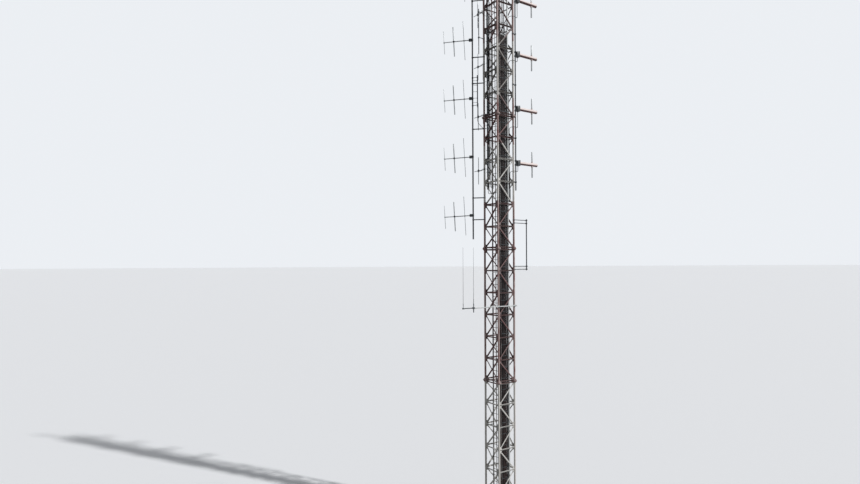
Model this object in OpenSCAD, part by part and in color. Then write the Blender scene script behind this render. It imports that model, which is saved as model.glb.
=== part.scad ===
// Square lattice radio mast with clamped-on broadcast antennas.
// The origin is the centre of the underside of the concrete foundation block, +Z is up.
// The four legs are named by their corner: front (+X -Y), right (+X +Y), back (-X +Y), left (-X -Y).

/* [Mast] */
// Distance between the centres of two neighbouring legs
face_w = 930; // [800:10:1100]
// Outside diameter of a leg tube
leg_d = 89; // [76:1:102]
// Height of one bay, from one horizontal to the next
bay_h = 1000; // [900:10:1100]
// Bays in one bolted section
bays = 6; // [6:2:8]
// Bolted sections, one above the other
sections = 4; // [4:1:4]

/* [Foundation] */
// Width of the square foundation block
plinth_w = 1600; // [1400:10:2000]
// Height of the foundation block
plinth_h = 400; // [300:10:600]
// Chamfer along the block's top edge
plinth_chamfer = 25; // [10:1:40]
// Depth of the cable pit in the block's top
pit_depth = 180; // [100:10:250]
// Width of a leg's square base plate
base_plate_w = 300; // [260:5:340]
// Thickness of a leg's base plate
base_plate_t = 20; // [16:1:22]
// Distance from one anchor hole to the next
anchor_pitch = 220; // [200:5:230]
// Radius of an anchor hole
anchor_hole_r = 13; // [10:0.5:15]

/* [Leg joints] */
// Diameter of a flange plate
flange_d = 220; // [210:5:240]
// Thickness of a flange plate
flange_t = 20; // [14:1:22]
// Height of the ribs that stiffen a flange
rib_h = 80; // [60:5:95]
// Thickness of a rib
rib_t = 8; // [6:1:12]
// Bolt circle of a flange
flange_pcd = 170; // [160:1:175]
// Radius of a bolt hole in the topmost flanges
flange_hole_r = 9; // [7:0.5:11]

/* [Bracing] */
// Width of the angle bars that run level
level_bar_w = 55; // [45:1:58]
// Width of the angle bars that run across a bay
cross_bar_w = 50; // [40:1:60]
// Wall of the angle bars
bar_t = 6; // [4:0.5:8]
// Distance from a joint between sections to the bar above or below it
joint_bar_gap = 52; // [52:1:60]
// Distance from a leg's centre to the end bolt of a cross bar
cross_end_x = 105; // [95:1:120]
// Distance from a level bar to the end bolt of a cross bar
cross_end_z = 95; // [85:1:110]
// Thickness of a gusset plate
gusset_t = 8; // [6:1:10]
// Width of a gusset plate beyond the cross bar's end bolt
gusset_over = 35; // [30:1:45]

/* [Climbing ladder] */
// Width of the ladder over its rails
ladder_w = 400; // [360:5:450]
// Distance from the front face to the ladder
ladder_in = 250; // [220:5:300]
// Distance from one rung to the next
rung_pitch = 280; // [250:5:300]
// Diameter of a rung
rung_d = 22; // [18:1:30]
// Depth of a ladder rail
rail_depth = 50; // [40:1:60]
// Thickness of a ladder rail
rail_t = 10; // [8:1:12]
// Height of the flat stays that hold the ladder
stay_w = 40; // [30:1:60]
// Gap between the foundation and the ladder's foot
ladder_foot = 150; // [50:10:300]
// Gap between the ladder's head and the mast's top
ladder_head = 100; // [50:10:300]

/* [Cable run] */
// Distance from the right face to the cable ladder's bars
tray_in = 115; // [95:5:160]
// Width of the cable ladder over its rails
tray_w = 450; // [440:5:480]
// Distance of the cable ladder's middle from the face's middle, towards the front leg
tray_shift = 25; // [0:5:40]
// Depth of a rail of the cable ladder
tray_rail = 40; // [30:1:50]
// Thickness of a rail of the cable ladder
tray_rail_t = 8; // [6:1:10]
// Width of the lip along the rail on the right leg's side
tray_lip = 45; // [30:1:50]
// Distance from one cross bar of the cable ladder to the next
tray_pitch = 500; // [400:10:600]
// Height of a cross bar
tray_bar = 30; // [25:1:40]
// Diameters of the feeder cables: two before the cable ladder, nine on it, one behind it
feeder_d = [28, 28, 28, 28, 42, 42, 28, 28, 16, 42, 28, 28];
// Distances of the nine feeder cables on the cable ladder from its rail
feeder_inset = [22, 53, 84, 129, 174, 205, 236, 330, 385];
// Depths of their upper ends below the mast's top
feeder_drops = [300, 2400, 2400, 350, 2400, 2400, 500, 2400, 2400];
// Height of the harness rack's foot below the mast's top
rack_drop = 9300; // [9150:10:9400]
// Distance of the rack from the left leg
rack_out = 165; // [150:5:200]
// Width of the rack's bar
rack_w = 110; // [90:1:120]

/* [Yagi array] */
// Antennas in the array
yagi_count = 5; // [5:1:5]
// Distance of the array's pole from the mast's centre line, along each axis
yagi_pole_out = 840; // [780:5:900]
// Diameter of the pole
yagi_pole_d = 65; // [55:1:75]
// Distance of the lowest antenna below the mast's top
yagi_drop = 10460; // [10400:10:10600]
// Distance from one antenna to the next
yagi_pitch = 2690; // [2600:10:2700]
// Length of the pole below the lowest antenna
yagi_tail = 1100; // [900:10:1200]
// Length of the pole above the highest antenna
yagi_head = 700; // [400:10:800]
// Diameter of the arms that hold the pole
yagi_arm_d = 48; // [42:1:60]
// Compass heading of the antennas, anticlockwise from +X
yagi_heading = 230; // [215:1:240]
// Angle by which the booms droop outwards
yagi_droop = 3; // [0:1:6]
// Distances of the reflector, the driven dipole and the director from the pole
yagi_spacing = [385, 860, 1305];
// Length of the reflector
reflector_len = 1790; // [1600:10:1900]
// Length of the driven dipole
driven_len = 1360; // [1200:10:1500]
// Length of the director
director_len = 1070; // [900:10:1200]
// Diameter of the driven dipole
driven_d = 45; // [35:1:50]
// Diameter of the reflector and the director
rod_d = 24; // [18:1:30]
// Diameter of the boom
boom_d = 42; // [36:1:50]
// Length of the power divider
divider_len = 1450; // [1300:10:1600]
// Diameter of the power divider
divider_d = 50; // [40:1:60]
// Distance of the power divider's foot below the mast's top
divider_drop = 5500; // [5450:10:5600]

/* [Tube dipoles] */
// Tube dipoles on their pole
tube_count = 4; // [4:1:4]
// Diameter of the tube dipoles' pole
tube_pole_d = 57; // [48:1:65]
// Distance of that pole from the right leg
tube_pole_out = 140; // [130:5:180]
// Distance of the lowest tube dipole below the mast's top
tube_drop = 8100; // [8060:10:8220]
// Distance from one tube dipole to the next
tube_pitch = 2480; // [2440:10:2500]
// Length of the pole below the lowest one
tube_tail = 1260; // [1100:10:1400]
// Diameter of the level tube
tube_d = 155; // [130:1:170]
// Length of the level tube
tube_len = 1090; // [1000:10:1150]
// Length of the box at the pole
tube_box_l = 165; // [140:5:200]
// Height of the box at the pole
tube_box_h = 270; // [250:10:320]
// Width of the box at the pole
tube_box_w = 190; // [180:5:220]
// Length of the upright dipole rod
tube_rod_len = 1200; // [1000:10:1400]
// Diameter of the upright dipole rod
tube_rod_d = 62; // [50:1:75]
// Distance of the upright rod from the box
tube_rod_out = 805; // [720:5:860]

/* [Side dipoles] */
// Distances of the side dipoles below the mast's top
side_drops = [8370, 5860, 3540, 1110];
// Length of a side dipole's arm, from the leg's centre
side_arm = 740; // [650:10:850]
// Diameter of a side dipole's arm and rod
side_d = 34; // [28:1:40]
// Distance of the upright rod from the leg's centre
side_rod_out = 435; // [400:5:500]
// Length of the upright rod
side_rod_len = 1260; // [1100:10:1400]

/* [Small mounts] */
// Distance of the collinear antenna from the left leg
collinear_out = 300; // [260:5:340]
// Length of the collinear antenna
collinear_len = 2030; // [1900:10:2200]
// Diameter of the collinear antenna
collinear_d = 38; // [30:1:45]
// Distance of the collinear antenna's foot below the mast's top
collinear_drop = 3110; // [3000:10:3200]
// Diameter of the stand-off pipe
standoff_d = 50; // [42:1:60]
// Length of the stand-off pipe
standoff_len = 2350; // [2300:10:2400]
// Distance of the stand-off pipe from the right leg
standoff_out = 780; // [600:10:900]
// Distance of the stand-off pipe's foot below the mast's top
standoff_drop = 13000; // [12960:10:13040]
// Distance of the outrigger below the mast's top
outrigger_drop = 14590; // [14550:10:14700]
// Diameter of the outrigger's pipe
outrigger_d = 48; // [42:1:55]
// Distance of the outrigger from the right face
outrigger_out = 95; // [90:1:110]
// Reach of the outrigger beyond the front leg
outrigger_reach = 1480; // [1300:10:1600]
// Length of the whips' cross arm
whip_arm_len = 595; // [560:5:640]
// Length of a whip antenna
whip_len = 2600; // [2200:10:2800]
// Length of a whip's loading coil
whip_coil = 170; // [120:10:320]
// Height of the post that carries the whips' cross arm
whip_post = 380; // [300:10:450]
// Length of the lightning rod
lightning_len = 2000; // [1500:10:2500]
// Height of the obstruction light's post
light_post = 250; // [150:10:400]

/* [Hidden] */
$fn = 24;
SIDES = ["front", "right", "back", "left"];
LEGS = [for (s = [1:sections]) str("section_", s, "_legs")];
BRACING = [for (s = [1:sections]) for (side = SIDES) str("section_", s, "_", side, "_bracing")];
YAGIS = [for (i = [1:yagi_count]) str("yagi_", i)];
TUBE_DIPOLES = [for (i = [1:tube_count]) str("tube_dipole_", i)];

half = face_w / 2;
leg_r = leg_d / 2;
section_h = bays * bay_h;
mast_top = plinth_h + sections * section_h;
// Depth by which welded pieces of one node reach into each other
weld = 1;
// Gap between a piece and the round surface that it grips
seat_gap = 0.3;
// Wall of a clamp
clamp_t = 8;
// Height of a clamp
clamp_h = 60;
// Inner faces of the level bars' walls and of the cross bars, measured from a face of legs
level_face = gusset_t / 2 - weld;
cross_face = gusset_t / 2 - weld + cross_bar_w;
// Every third level bar carries the ladders' stays
STAY_LEVELS = [for (n = [1:3:bays * sections - 1]) if (n % bays != 0) n];

leg_front = [half, -half];
leg_right = [half, half];
leg_back = [-half, half];
leg_left = [-half, -half];

RED = [0.56, 0.24, 0.21];
WHITE = [0.84, 0.84, 0.82];
STEEL = [0.62, 0.64, 0.65];
BLACK = [0.11, 0.11, 0.12];
CONCRETE = [0.66, 0.65, 0.62];

// Height of the joint above section s
function joint_z(s) = plinth_h + s * section_h;

// Height of the level bar n bays above the foot of section s
function level_z(s, n) =
    joint_z(s - 1) + n * bay_h + (n == 0 ? joint_bar_gap : n == bays ? -joint_bar_gap : 0);

// Height of the level bar n bays above the foundation, away from the joints
function bay_z(n) = plinth_h + n * bay_h;

// A point at a place on the plan and a height
function at(plan, z) = [plan.x, plan.y, z];

function unit(v) = v / norm(v);

// Turns what is drawn for the front face to the face k quarter turns on
module on_side(k) {
    rotate([0, 0, 90 * k]) children();
}

// A straight round bar between two points
module rod(a, b, d) {
    v = b - a;
    translate(a)
        rotate([0, acos(v.z / norm(v)), atan2(v.y, v.x)])
            cylinder(d = d, h = norm(v));
}

// A cable along the corner points p, with a ball at each bend whose poles lie off the cable
module cable(p, d) {
    for (i = [0:len(p) - 2]) rod(p[i], p[i + 1], d);
    for (i = [1:len(p) - 2]) translate(p[i]) rotate([0, 45, 30]) sphere(d = 1.2 * d);
}

tray_x = half - tray_in;
tray_y = -tray_shift;
last_feeder = len(feeder_d) - 1;

// Distance of feeder i from the middle of the cable ladder
function feeder_shift(i) =
    i == 0 ? -tray_w / 2 - seat_gap - feeder_d[0] / 2 :
    i == 1 ? feeder_shift(0) - feeder_d[0] / 2 - seat_gap - feeder_d[1] / 2 :
    i == last_feeder ? tray_w / 2 + seat_gap + feeder_d[i] / 2 :
    -tray_w / 2 + tray_rail_t + feeder_inset[i - 2] + feeder_d[i] / 2;

// Place of feeder i on the plan, its inner side in line with the cable ladder's bars
function feeder_at(i) = [tray_x + seat_gap + feeder_d[i] / 2, tray_y + feeder_shift(i)];

// Depth below the top of the middle of the first bay at least 100 below a drop
function next_mid(drop) = (ceil((drop + 100) / bay_h - 0.5) + 0.5) * bay_h;

// Foundation block, with a pit under the feeder cables
module plinth() {
    pit_w = max(feeder_d) + 60;
    pit_y0 = tray_y + feeder_shift(1) - feeder_d[1] / 2 - 5;
    pit_y1 = tray_y + feeder_shift(last_feeder) + feeder_d[last_feeder] / 2 + 5;
    color(CONCRETE)
        difference() {
            union() {
                linear_extrude(plinth_h - plinth_chamfer) square(plinth_w, center = true);
                translate([0, 0, plinth_h - plinth_chamfer])
                    linear_extrude(plinth_chamfer, scale = 1 - 2 * plinth_chamfer / plinth_w)
                        square(plinth_w, center = true);
            }
            translate([tray_x + max(feeder_d) / 2 - pit_w / 2, pit_y0, plinth_h - pit_depth])
                cube([pit_w, pit_y1 - pit_y0, pit_depth + weld]);
        }
}

// Triangular ribs that rise from a plate to the leg tube
module leg_ribs(reach) {
    for (a = [45:90:315])
        rotate([90, 0, a])
            linear_extrude(rib_t, center = true)
                polygon([[leg_r - weld, -weld], [reach, -weld], [reach, rib_t], [leg_r - weld, rib_h]]);
}

module bolt_holes(count, pcd, r, t) {
    for (i = [0:count - 1])
        rotate([0, 0, (i + 0.5) * 360 / count])
            translate([pcd / 2, 0, -weld]) cylinder(r = r, h = t + 2 * weld);
}

module flange(drilled) {
    difference() {
        cylinder(d = flange_d, h = flange_t);
        if (drilled) bolt_holes(6, flange_pcd, flange_hole_r, flange_t);
    }
    translate([0, 0, flange_t]) leg_ribs(flange_d / 2 - 12);
}

module base_plate() {
    difference() {
        translate([0, 0, base_plate_t / 2]) cube([base_plate_w, base_plate_w, base_plate_t], center = true);
        bolt_holes(4, anchor_pitch * sqrt(2), anchor_hole_r, base_plate_t);
    }
    translate([0, 0, base_plate_t]) leg_ribs(base_plate_w / 2 - 12);
}

// One leg of section s: the tube with a plate at each end
module leg(s) {
    translate([0, 0, joint_z(s - 1)]) {
        cylinder(d = leg_d, h = section_h);
        if (s == 1) base_plate();
        else flange(false);
    }
    translate([0, 0, joint_z(s)]) mirror([0, 0, 1]) flange(s == sections);
}

module section_legs(s) {
    color(s % 2 == 1 ? WHITE : RED)
        for (k = [0:3])
            on_side(k) translate(at(leg_front, 0)) leg(s);
}

// Gusset plate in the front face, at the leg on side e (-1 left, +1 right)
module gusset(e, z, up, down) {
    x0 = leg_r + seat_gap;
    x1 = cross_end_x + gusset_over;
    cut = gusset_over * 0.7;
    translate([e * half, -half, z])
        mirror([e > 0 ? 1 : 0, 0, 0])
            rotate([90, 0, 0])
                linear_extrude(gusset_t, center = true)
                    polygon([[x0, -down], [x1 - cut, -down], [x1, -down * 0.6], [x1, up * 0.6], [x1 - cut, up],
                        [x0, up]]);
}

// Level angle bar, its wall on the outside of the gussets
module level_bar(z) {
    len = face_w - leg_d - 40;
    translate([-len / 2, -half - level_face - bar_t, z - level_bar_w / 2])
        cube([len, bar_t, level_bar_w]);
    translate([-len / 2, -half - level_face - level_bar_w, z + level_bar_w / 2 - bar_t])
        cube([len, level_bar_w, bar_t]);
}

// Angle bar across a bay, its wall on the inside of the gussets; dir is +1 when it rises to the right
module cross_bar(z0, z1, dir) {
    run = face_w - 2 * cross_end_x;
    rise = z1 - z0 - 2 * cross_end_z;
    len = norm([run, rise]) + cross_bar_w * 1.2;
    translate([0, -half + level_face, (z0 + z1) / 2])
        rotate([0, -dir * atan2(rise, run), 0])
            translate([-len / 2, 0, -cross_bar_w / 2]) {
                cube([len, bar_t, cross_bar_w]);
                cube([len, cross_bar_w, bar_t]);
            }
}

// One face of section s, seen from outside; the cross bars zigzag from the right leg at the top
module face_bracing(s) {
    tab = level_bar_w / 2 + 5;
    tab_at_joint = min(tab, joint_bar_gap - flange_t - 2);
    wing = cross_end_z + 45;
    for (n = [0:bays]) {
        z = level_z(s, n);
        level_bar(z);
        for (e = [-1, 1]) {
            meets = ((bays - n) % 2 == 0) == (e > 0);
            gusset(e, z, n == bays ? tab_at_joint : meets ? wing : tab,
                n == 0 ? tab_at_joint : meets ? wing : tab);
        }
    }
    for (n = [0:bays - 1])
        cross_bar(level_z(s, n), level_z(s, n + 1), (bays - n) % 2 == 1 ? 1 : -1);
}

module section_bracing(s, k) {
    color(s % 2 == 1 ? WHITE : RED) on_side(k) face_bracing(s);
}

// Climbing ladder inside the front face, on flat stays from the face's level bars
module ladder() {
    z0 = plinth_h + ladder_foot;
    z1 = mast_top - ladder_head;
    rungs = floor((z1 - z0 - rung_pitch) / rung_pitch);
    bar_y = -half - level_face + seat_gap;
    rail_y = ladder_in - half - rail_depth / 2;
    color(STEEL) {
        for (e = [-1, 1])
            translate([e * (ladder_w - rail_t) / 2 - rail_t / 2, 0, 0]) {
                translate([0, rail_y, z0]) cube([rail_t, rail_depth, z1 - z0]);
                for (n = STAY_LEVELS)
                    translate([0, bar_y, bay_z(n) - stay_w / 2])
                        cube([rail_t, rail_y + weld - bar_y, stay_w]);
            }
        for (i = [0:rungs])
            translate([-ladder_w / 2 + rail_t / 2, ladder_in - half, z0 + rung_pitch * (i + 0.5)])
                rotate([0, 90, 0]) cylinder(d = rung_d, h = ladder_w - rail_t);
    }
}

// Ladder of flat bars that carries the feeder cables inside the right face
module cable_ladder() {
    z0 = plinth_h + ladder_foot;
    z1 = mast_top - ladder_head;
    bars = floor((z1 - z0 - tray_bar) / tray_pitch);
    color(STEEL)
        translate([tray_x, tray_y, 0]) {
            for (e = [-1, 1])
                translate([0, e * (tray_w - tray_rail_t) / 2 - tray_rail_t / 2, 0]) {
                    translate([-tray_rail_t, 0, z0])
                        cube([tray_rail + (e > 0 ? tray_rail_t : 0), tray_rail_t, z1 - z0]);
                    for (n = STAY_LEVELS)
                        translate([0, 0, bay_z(n) - tray_bar / 2])
                            cube([tray_in + level_face - seat_gap, tray_rail_t, tray_bar]);
                }
            translate([tray_rail - tray_rail_t, tray_w / 2 - weld, z0])
                cube([tray_rail_t, tray_lip + weld, z1 - z0]);
            for (i = [0:bars])
                translate([-tray_rail_t, -tray_w / 2 + weld, z0 + i * tray_pitch])
                    cube([tray_rail_t, tray_w - 2 * weld, tray_bar]);
        }
}

// Feeder cables from the pit up the cable ladder, some of them only part of the way
module feeder_cables() {
    drops = concat([mast_top - feed_z + 200, mast_top - side_feed_z + 200], feeder_drops,
        [tube_divider_drop + tube_divider_h + port_h]);
    foot = plinth_h - pit_depth;
    color(BLACK)
        for (i = [0:len(feeder_d) - 1])
            translate(at(feeder_at(i), foot)) cylinder(d = feeder_d[i], h = mast_top - drops[i] - foot);
}

// Diameters of the thin and the thick cables between antennas, power dividers and feeders
jumper_d = 14;
feed_d = 22;
// Gap between a cable and what it runs along, more than its bends are thicker
cable_gap = 1.5;
// Length of a cable socket
port_h = 30;
rack_t = 6;
rack_x = -half + rack_out;
rack_y = -half + cross_face + 4;
side_divider_h = 330;
side_divider_z = mast_top - rack_drop + 20;
tube_divider_h = 600;
tube_divider_drop = rack_drop;
tube_divider_z = mast_top - tube_divider_drop - tube_divider_h;
tube_lane_pitch = feed_d + 8;
// Heights at which the cables from the yagi and the side dipoles' dividers cross to the cable ladder
feed_z = mast_top - next_mid(divider_drop + 500);
side_feed_z = mast_top - next_mid(rack_drop);
// Planes inside the front face in which they cross, clear of what hangs on the rack
feed_y = rack_y + rack_t + jumper_d + feed_d / 2 + 5;

// Where the cable of side dipole i runs down the rack, the lowest one outermost
function side_lane(i) = [
    rack_x + (i - (len(side_drops) + 1) / 2) * 24, rack_y + rack_t + cable_gap + jumper_d / 2];

// Where the cable of tube dipole i runs down beside the cable ladder, the lowest one outermost
function tube_lane(i) = [tray_x + feed_d / 2,
    tray_y + tray_w / 2 + tray_lip + tube_lane_pitch * (tube_count - i + 0.5)];

// Upright flat bar inside the front face, near the left leg, for the antennas' cable harness
module harness_rack() {
    z0 = mast_top - rack_drop;
    z1 = mast_top - ladder_head;
    bar_y = -half - level_face + seat_gap;
    color(STEEL) {
        translate([rack_x - rack_w / 2, rack_y, z0]) cube([rack_w, rack_t, z1 - z0]);
        for (n = [1:bays * sections - 1])
            if (n % bays != 0 && bay_z(n) > z0 + stay_w)
                translate([rack_x - 10, bar_y, bay_z(n) - 15]) cube([20, rack_y - bar_y + weld, 30]);
    }
}

// Round clamp about a pole, with two bolted ears across the direction of its arm
module pole_clamp(d, h = clamp_h) {
    cylinder(d = d + 2 * clamp_t, h = h, center = true);
    cube([2 * clamp_t, d + 2 * clamp_t + 44, h], center = true);
}

// The same clamp, bored for a pole that belongs to another piece
module bored_clamp(d, h) {
    difference() {
        pole_clamp(d, h);
        cylinder(d = d + 2 * seat_gap, h = h + 2, center = true);
    }
}

// Half clamp on the outer side of the leg that lies along out, clear of the gussets
module leg_saddle(out, h = clamp_h) {
    rotate([0, 0, atan2(out.y, out.x)])
        difference() {
            cylinder(d = leg_d + 2 * clamp_t, h = h, center = true);
            cylinder(d = leg_d + 2 * seat_gap, h = h + 2, center = true);
            translate([-leg_d, 0, 0]) cube([2 * leg_d + 20, 3 * leg_d, h + 2], center = true);
        }
}

// Level arm from a saddle on a leg to a clamp on an outer pole
module pole_arm(leg_at, pole_at, z, pole_d, arm_d) {
    v = pole_at - leg_at;
    from = leg_at + unit(v) * (leg_r + clamp_t / 2);
    to = pole_at - unit(v) * (pole_d / 2 + clamp_t / 2);
    translate(at(leg_at, z)) leg_saddle(leg_at);
    translate(at(pole_at, z)) rotate([0, 0, atan2(v.y, v.x)]) pole_clamp(pole_d);
    rod(at(from, z), at(to, z), arm_d);
}

yagi_at = [-yagi_pole_out, -yagi_pole_out];
yagi_dir = [cos(yagi_heading), sin(yagi_heading)];
yagi_side = [-yagi_dir.y, yagi_dir.x];
yagi_arm_drops = [600, 3200, 4400, 6500, yagi_drop - 800, yagi_drop + 200];

function yagi_z(i) = mast_top - yagi_drop + (i - 1) * yagi_pitch;

// Pole that carries the yagi antennas, with its arms to the left leg
module yagi_pole() {
    foot = yagi_z(1) - yagi_tail;
    color(STEEL) {
        translate(at(yagi_at, foot)) cylinder(d = yagi_pole_d, h = yagi_z(yagi_count) + yagi_head - foot);
        for (drop = yagi_arm_drops)
            pole_arm(leg_left, yagi_at, mast_top - drop, yagi_pole_d, yagi_arm_d);
    }
}

// Point of antenna i at the distance r along its boom, z above and y beside the boom's axis
function boom_point(i, r, y, z) = at(
    yagi_at + yagi_dir * (r * cos(yagi_droop) + z * sin(yagi_droop)) + yagi_side * y,
    yagi_z(i) - r * sin(yagi_droop) + z * cos(yagi_droop));

// One three-element antenna; its boom droops a little from the level clamp
module yagi(i) {
    reach = yagi_spacing[2] + 30;
    hub = [2.4 * rod_d, 1.6 * boom_d, 1.6 * boom_d];
    color(RED)
        translate(at(yagi_at, yagi_z(i))) rotate([0, 0, yagi_heading]) {
            bored_clamp(yagi_pole_d, 100);
            rotate([0, yagi_droop, 0]) {
                rod([yagi_pole_d / 2 + clamp_t / 2, 0, 0], [reach, 0, 0], boom_d);
                for (e = [[0, reflector_len, rod_d], [1, driven_len, driven_d], [2, director_len, rod_d]])
                    translate([yagi_spacing[e[0]], 0, -e[1] / 2]) cylinder(d = e[2], h = e[1]);
                for (e = [0, 2])
                    translate([yagi_spacing[e], 0, 0]) cube(hub, center = true);
                translate([yagi_spacing[1], 0, -0.9 * boom_d]) cylinder(d = driven_d + 14, h = 1.8 * boom_d);
                translate([yagi_spacing[1] - feed_box_l / 2, 0, -feed_box_h / 2])
                    cube([feed_box_l, jumper_beside + jumper_d / 2 + 3, feed_box_h]);
            }
        }
}

// Length and height of the feed box on the side of the boom
feed_box_l = 80;
feed_box_h = 40;
// Distance of the jumper from the boom's axis, clear of the elements' hubs
jumper_beside = 0.8 * boom_d + cable_gap + jumper_d / 2;

divider_at = yagi_at + [215, 115];
divider_foot = mast_top - divider_drop;
divider_ports = [0.14, 0.28, 0.48, 0.69, 0.83];
// Distances of the five jumpers' upright runs from the pole
jumper_lane = [102, 84, 120, 84, 102];

function port_z(i) = divider_foot + divider_len * divider_ports[i - 1];

// Where jumper i runs up or down beside the pole
function jumper_at(i) = yagi_at + yagi_side * jumper_lane[i - 1];

// Direction in which port i leaves the divider
function port_dir(i) = unit(jumper_at(i) - divider_at);

// Power dividers: one tube beside the yagi pole and a box each for the tube and the side dipoles
module power_dividers() {
    v = unit(divider_at - yagi_at);
    color(BLACK) {
        translate(at(divider_at, divider_foot)) cylinder(d = divider_d, h = divider_len);
        translate(at(divider_at, divider_foot - port_h)) cylinder(d = 30, h = port_h + weld);
        for (i = [1:yagi_count])
            rod(at(divider_at, port_z(i)),
                at(divider_at + port_dir(i) * (divider_d / 2 + port_h), port_z(i)), 24);
        for (part = [0.06, 0.94])
            translate([0, 0, divider_foot + part * divider_len]) {
                translate(at(yagi_at, 0)) rotate([0, 0, atan2(v.y, v.x)]) bored_clamp(yagi_pole_d, 50);
                rod(at(yagi_at + v * (yagi_pole_d / 2 + clamp_t / 2), 0), at(divider_at, 0), 25);
            }
        translate([tray_x - tray_rail_t, tray_y + tray_w / 2 + seat_gap, tube_divider_z])
            cube([tray_rail - 2, tray_lip + tube_count * tube_lane_pitch, tube_divider_h]);
        for (i = [1:tube_count])
            translate(at(tube_lane(i), tube_divider_z + tube_divider_h - weld))
                cylinder(d = 26, h = port_h + weld);
        translate(at(feeder_at(last_feeder), tube_divider_z - port_h)) cylinder(d = 28, h = port_h + weld);
        translate([rack_x - rack_w / 2, rack_y + rack_t + seat_gap, side_divider_z])
            cube([rack_w, 40, side_divider_h]);
        for (i = [1:len(side_drops)])
            translate(at(side_lane(i), side_divider_z + side_divider_h - weld))
                cylinder(d = 13, h = port_h + weld);
        translate([rack_x, rack_y + rack_t + seat_gap + 20, side_divider_z - port_h])
            cylinder(d = 30, h = port_h + weld);
    }
}

tube_at = leg_right + [0, tube_pole_out];
tube_arm_d = 40;
// Depths of the pole's arms below the mast's top, clear of the tube dipoles' own clamps
tube_arm_drops = [400, 2250, 4560, 6980, 8980];
tube_ring_r = tube_pole_d / 2 + clamp_t;
tube_box_out = tube_ring_r + 12;

function tube_z(i) = mast_top - tube_drop + (i - 1) * tube_pitch;

// Pole that carries the tube dipoles, clamped beside the right leg
module tube_dipole_pole() {
    foot = tube_z(1) - tube_tail;
    color(RED) {
        translate(at(tube_at, foot)) cylinder(d = tube_pole_d, h = mast_top - 100 - foot);
        for (drop = tube_arm_drops)
            pole_arm(leg_right, tube_at, mast_top - drop, tube_pole_d, tube_arm_d);
    }
}

// One tube dipole: box at the pole, level tube with its end cap, upright rod through a collar
module tube_dipole(i) {
    translate(at(tube_at, tube_z(i))) {
        color(BLACK) {
            for (e = [-1, 1])
                translate([0, 0, e * (tube_box_h / 2 - 45)]) rotate([0, 0, 90]) bored_clamp(tube_pole_d, 70);
            translate([-35, tube_ring_r - clamp_t / 2, -tube_box_h / 2 + 10])
                cube([70, tube_box_out - tube_ring_r + clamp_t, tube_box_h - 20]);
            translate([-tube_box_w / 2, tube_box_out, 0])
                rotate([90, 0, 90])
                    linear_extrude(tube_box_w)
                        polygon([[0, -0.4 * tube_box_h], [tube_box_l, -tube_box_h / 2],
                            [tube_box_l, tube_box_h / 2], [0, 0.4 * tube_box_h]]);
        }
        color(RED)
            translate([0, tube_box_out + tube_box_l, 0]) {
                rotate([-90, 0, 0]) {
                    translate([0, 0, -weld]) cylinder(d = tube_d, h = tube_len + weld);
                    translate([0, 0, -weld]) cylinder(d = tube_d + 30, h = 16 + weld);
                    translate([0, 0, tube_len - 30]) cylinder(d = tube_d + 8, h = 36);
                }
                translate([0, tube_rod_out, -tube_rod_len / 2]) cylinder(d = tube_rod_d, h = tube_rod_len);
                translate([0, tube_rod_out, -tube_d / 2 - 45])
                    cylinder(d = tube_rod_d + 24, h = tube_d + 90);
            }
    }
}

// Side dipoles on arms that leave the left leg
module side_dipoles() {
    color(STEEL)
        for (drop = side_drops)
            translate(at(leg_left, mast_top - drop)) {
                leg_saddle(leg_left, 50);
                rod([-leg_r - clamp_t / 2, 0, 0], [-side_arm, 0, 0], side_d);
                translate([-side_rod_out, 0, -side_rod_len / 2]) cylinder(d = side_d, h = side_rod_len);
                translate([-side_rod_out, 0, 0]) cube([90, 60, 70], center = true);
            }
}

collinear_at = leg_left - [0, collinear_out];

module collinear_antenna() {
    foot = mast_top - collinear_drop;
    color(STEEL) {
        translate(at(collinear_at, foot)) cylinder(d = collinear_d, h = collinear_len);
        translate(at(collinear_at, foot - 40)) cylinder(d = collinear_d * 0.7, h = 40 + weld);
        for (part = [0.36, 0.93])
            pole_arm(leg_left, collinear_at, foot + part * collinear_len, collinear_d, 30);
    }
}

standoff_at = leg_right + [0, standoff_out];

// Spare pipe held off the right leg by two pairs of arms
module standoff_pole() {
    foot = mast_top - standoff_drop;
    pair = 140;
    color(STEEL) {
        translate(at(standoff_at, foot)) cylinder(d = standoff_d, h = standoff_len);
        for (z = [50, 50 + pair, standoff_len - 50 - pair, standoff_len - 50])
            pole_arm(leg_right, standoff_at, foot + z, standoff_d, 34);
    }
}

outrigger_x = half + outrigger_out;
outrigger_z = mast_top - outrigger_drop;
outrigger_end = -half - outrigger_reach;
whip_arm_d = 40;

// Level pipe across the right face, with a cross arm for the whips beyond the front leg
module outrigger() {
    block = outrigger_out - leg_r - outrigger_d / 2;
    color(STEEL) {
        rod([outrigger_x, half + 70, outrigger_z], [outrigger_x, outrigger_end, outrigger_z], outrigger_d);
        for (leg_at = [leg_front, leg_right])
            translate(at(leg_at, outrigger_z)) {
                leg_saddle(leg_at, 90);
                translate([leg_r + clamp_t / 2, -30, -30]) cube([outrigger_out - leg_r, 60, 60]);
            }
        translate([outrigger_x, outrigger_end, outrigger_z - whip_post / 2])
            cylinder(d = whip_arm_d, h = whip_post);
        translate([outrigger_x, outrigger_end, outrigger_z]) cube([70, 90, 80], center = true);
        rod([outrigger_x, outrigger_end, outrigger_z],
            [outrigger_x, outrigger_end - whip_arm_len, outrigger_z], whip_arm_d);
        translate([outrigger_x, outrigger_end - whip_arm_len + 35, outrigger_z])
            cube([60, 70, 60], center = true);
    }
}

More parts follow.
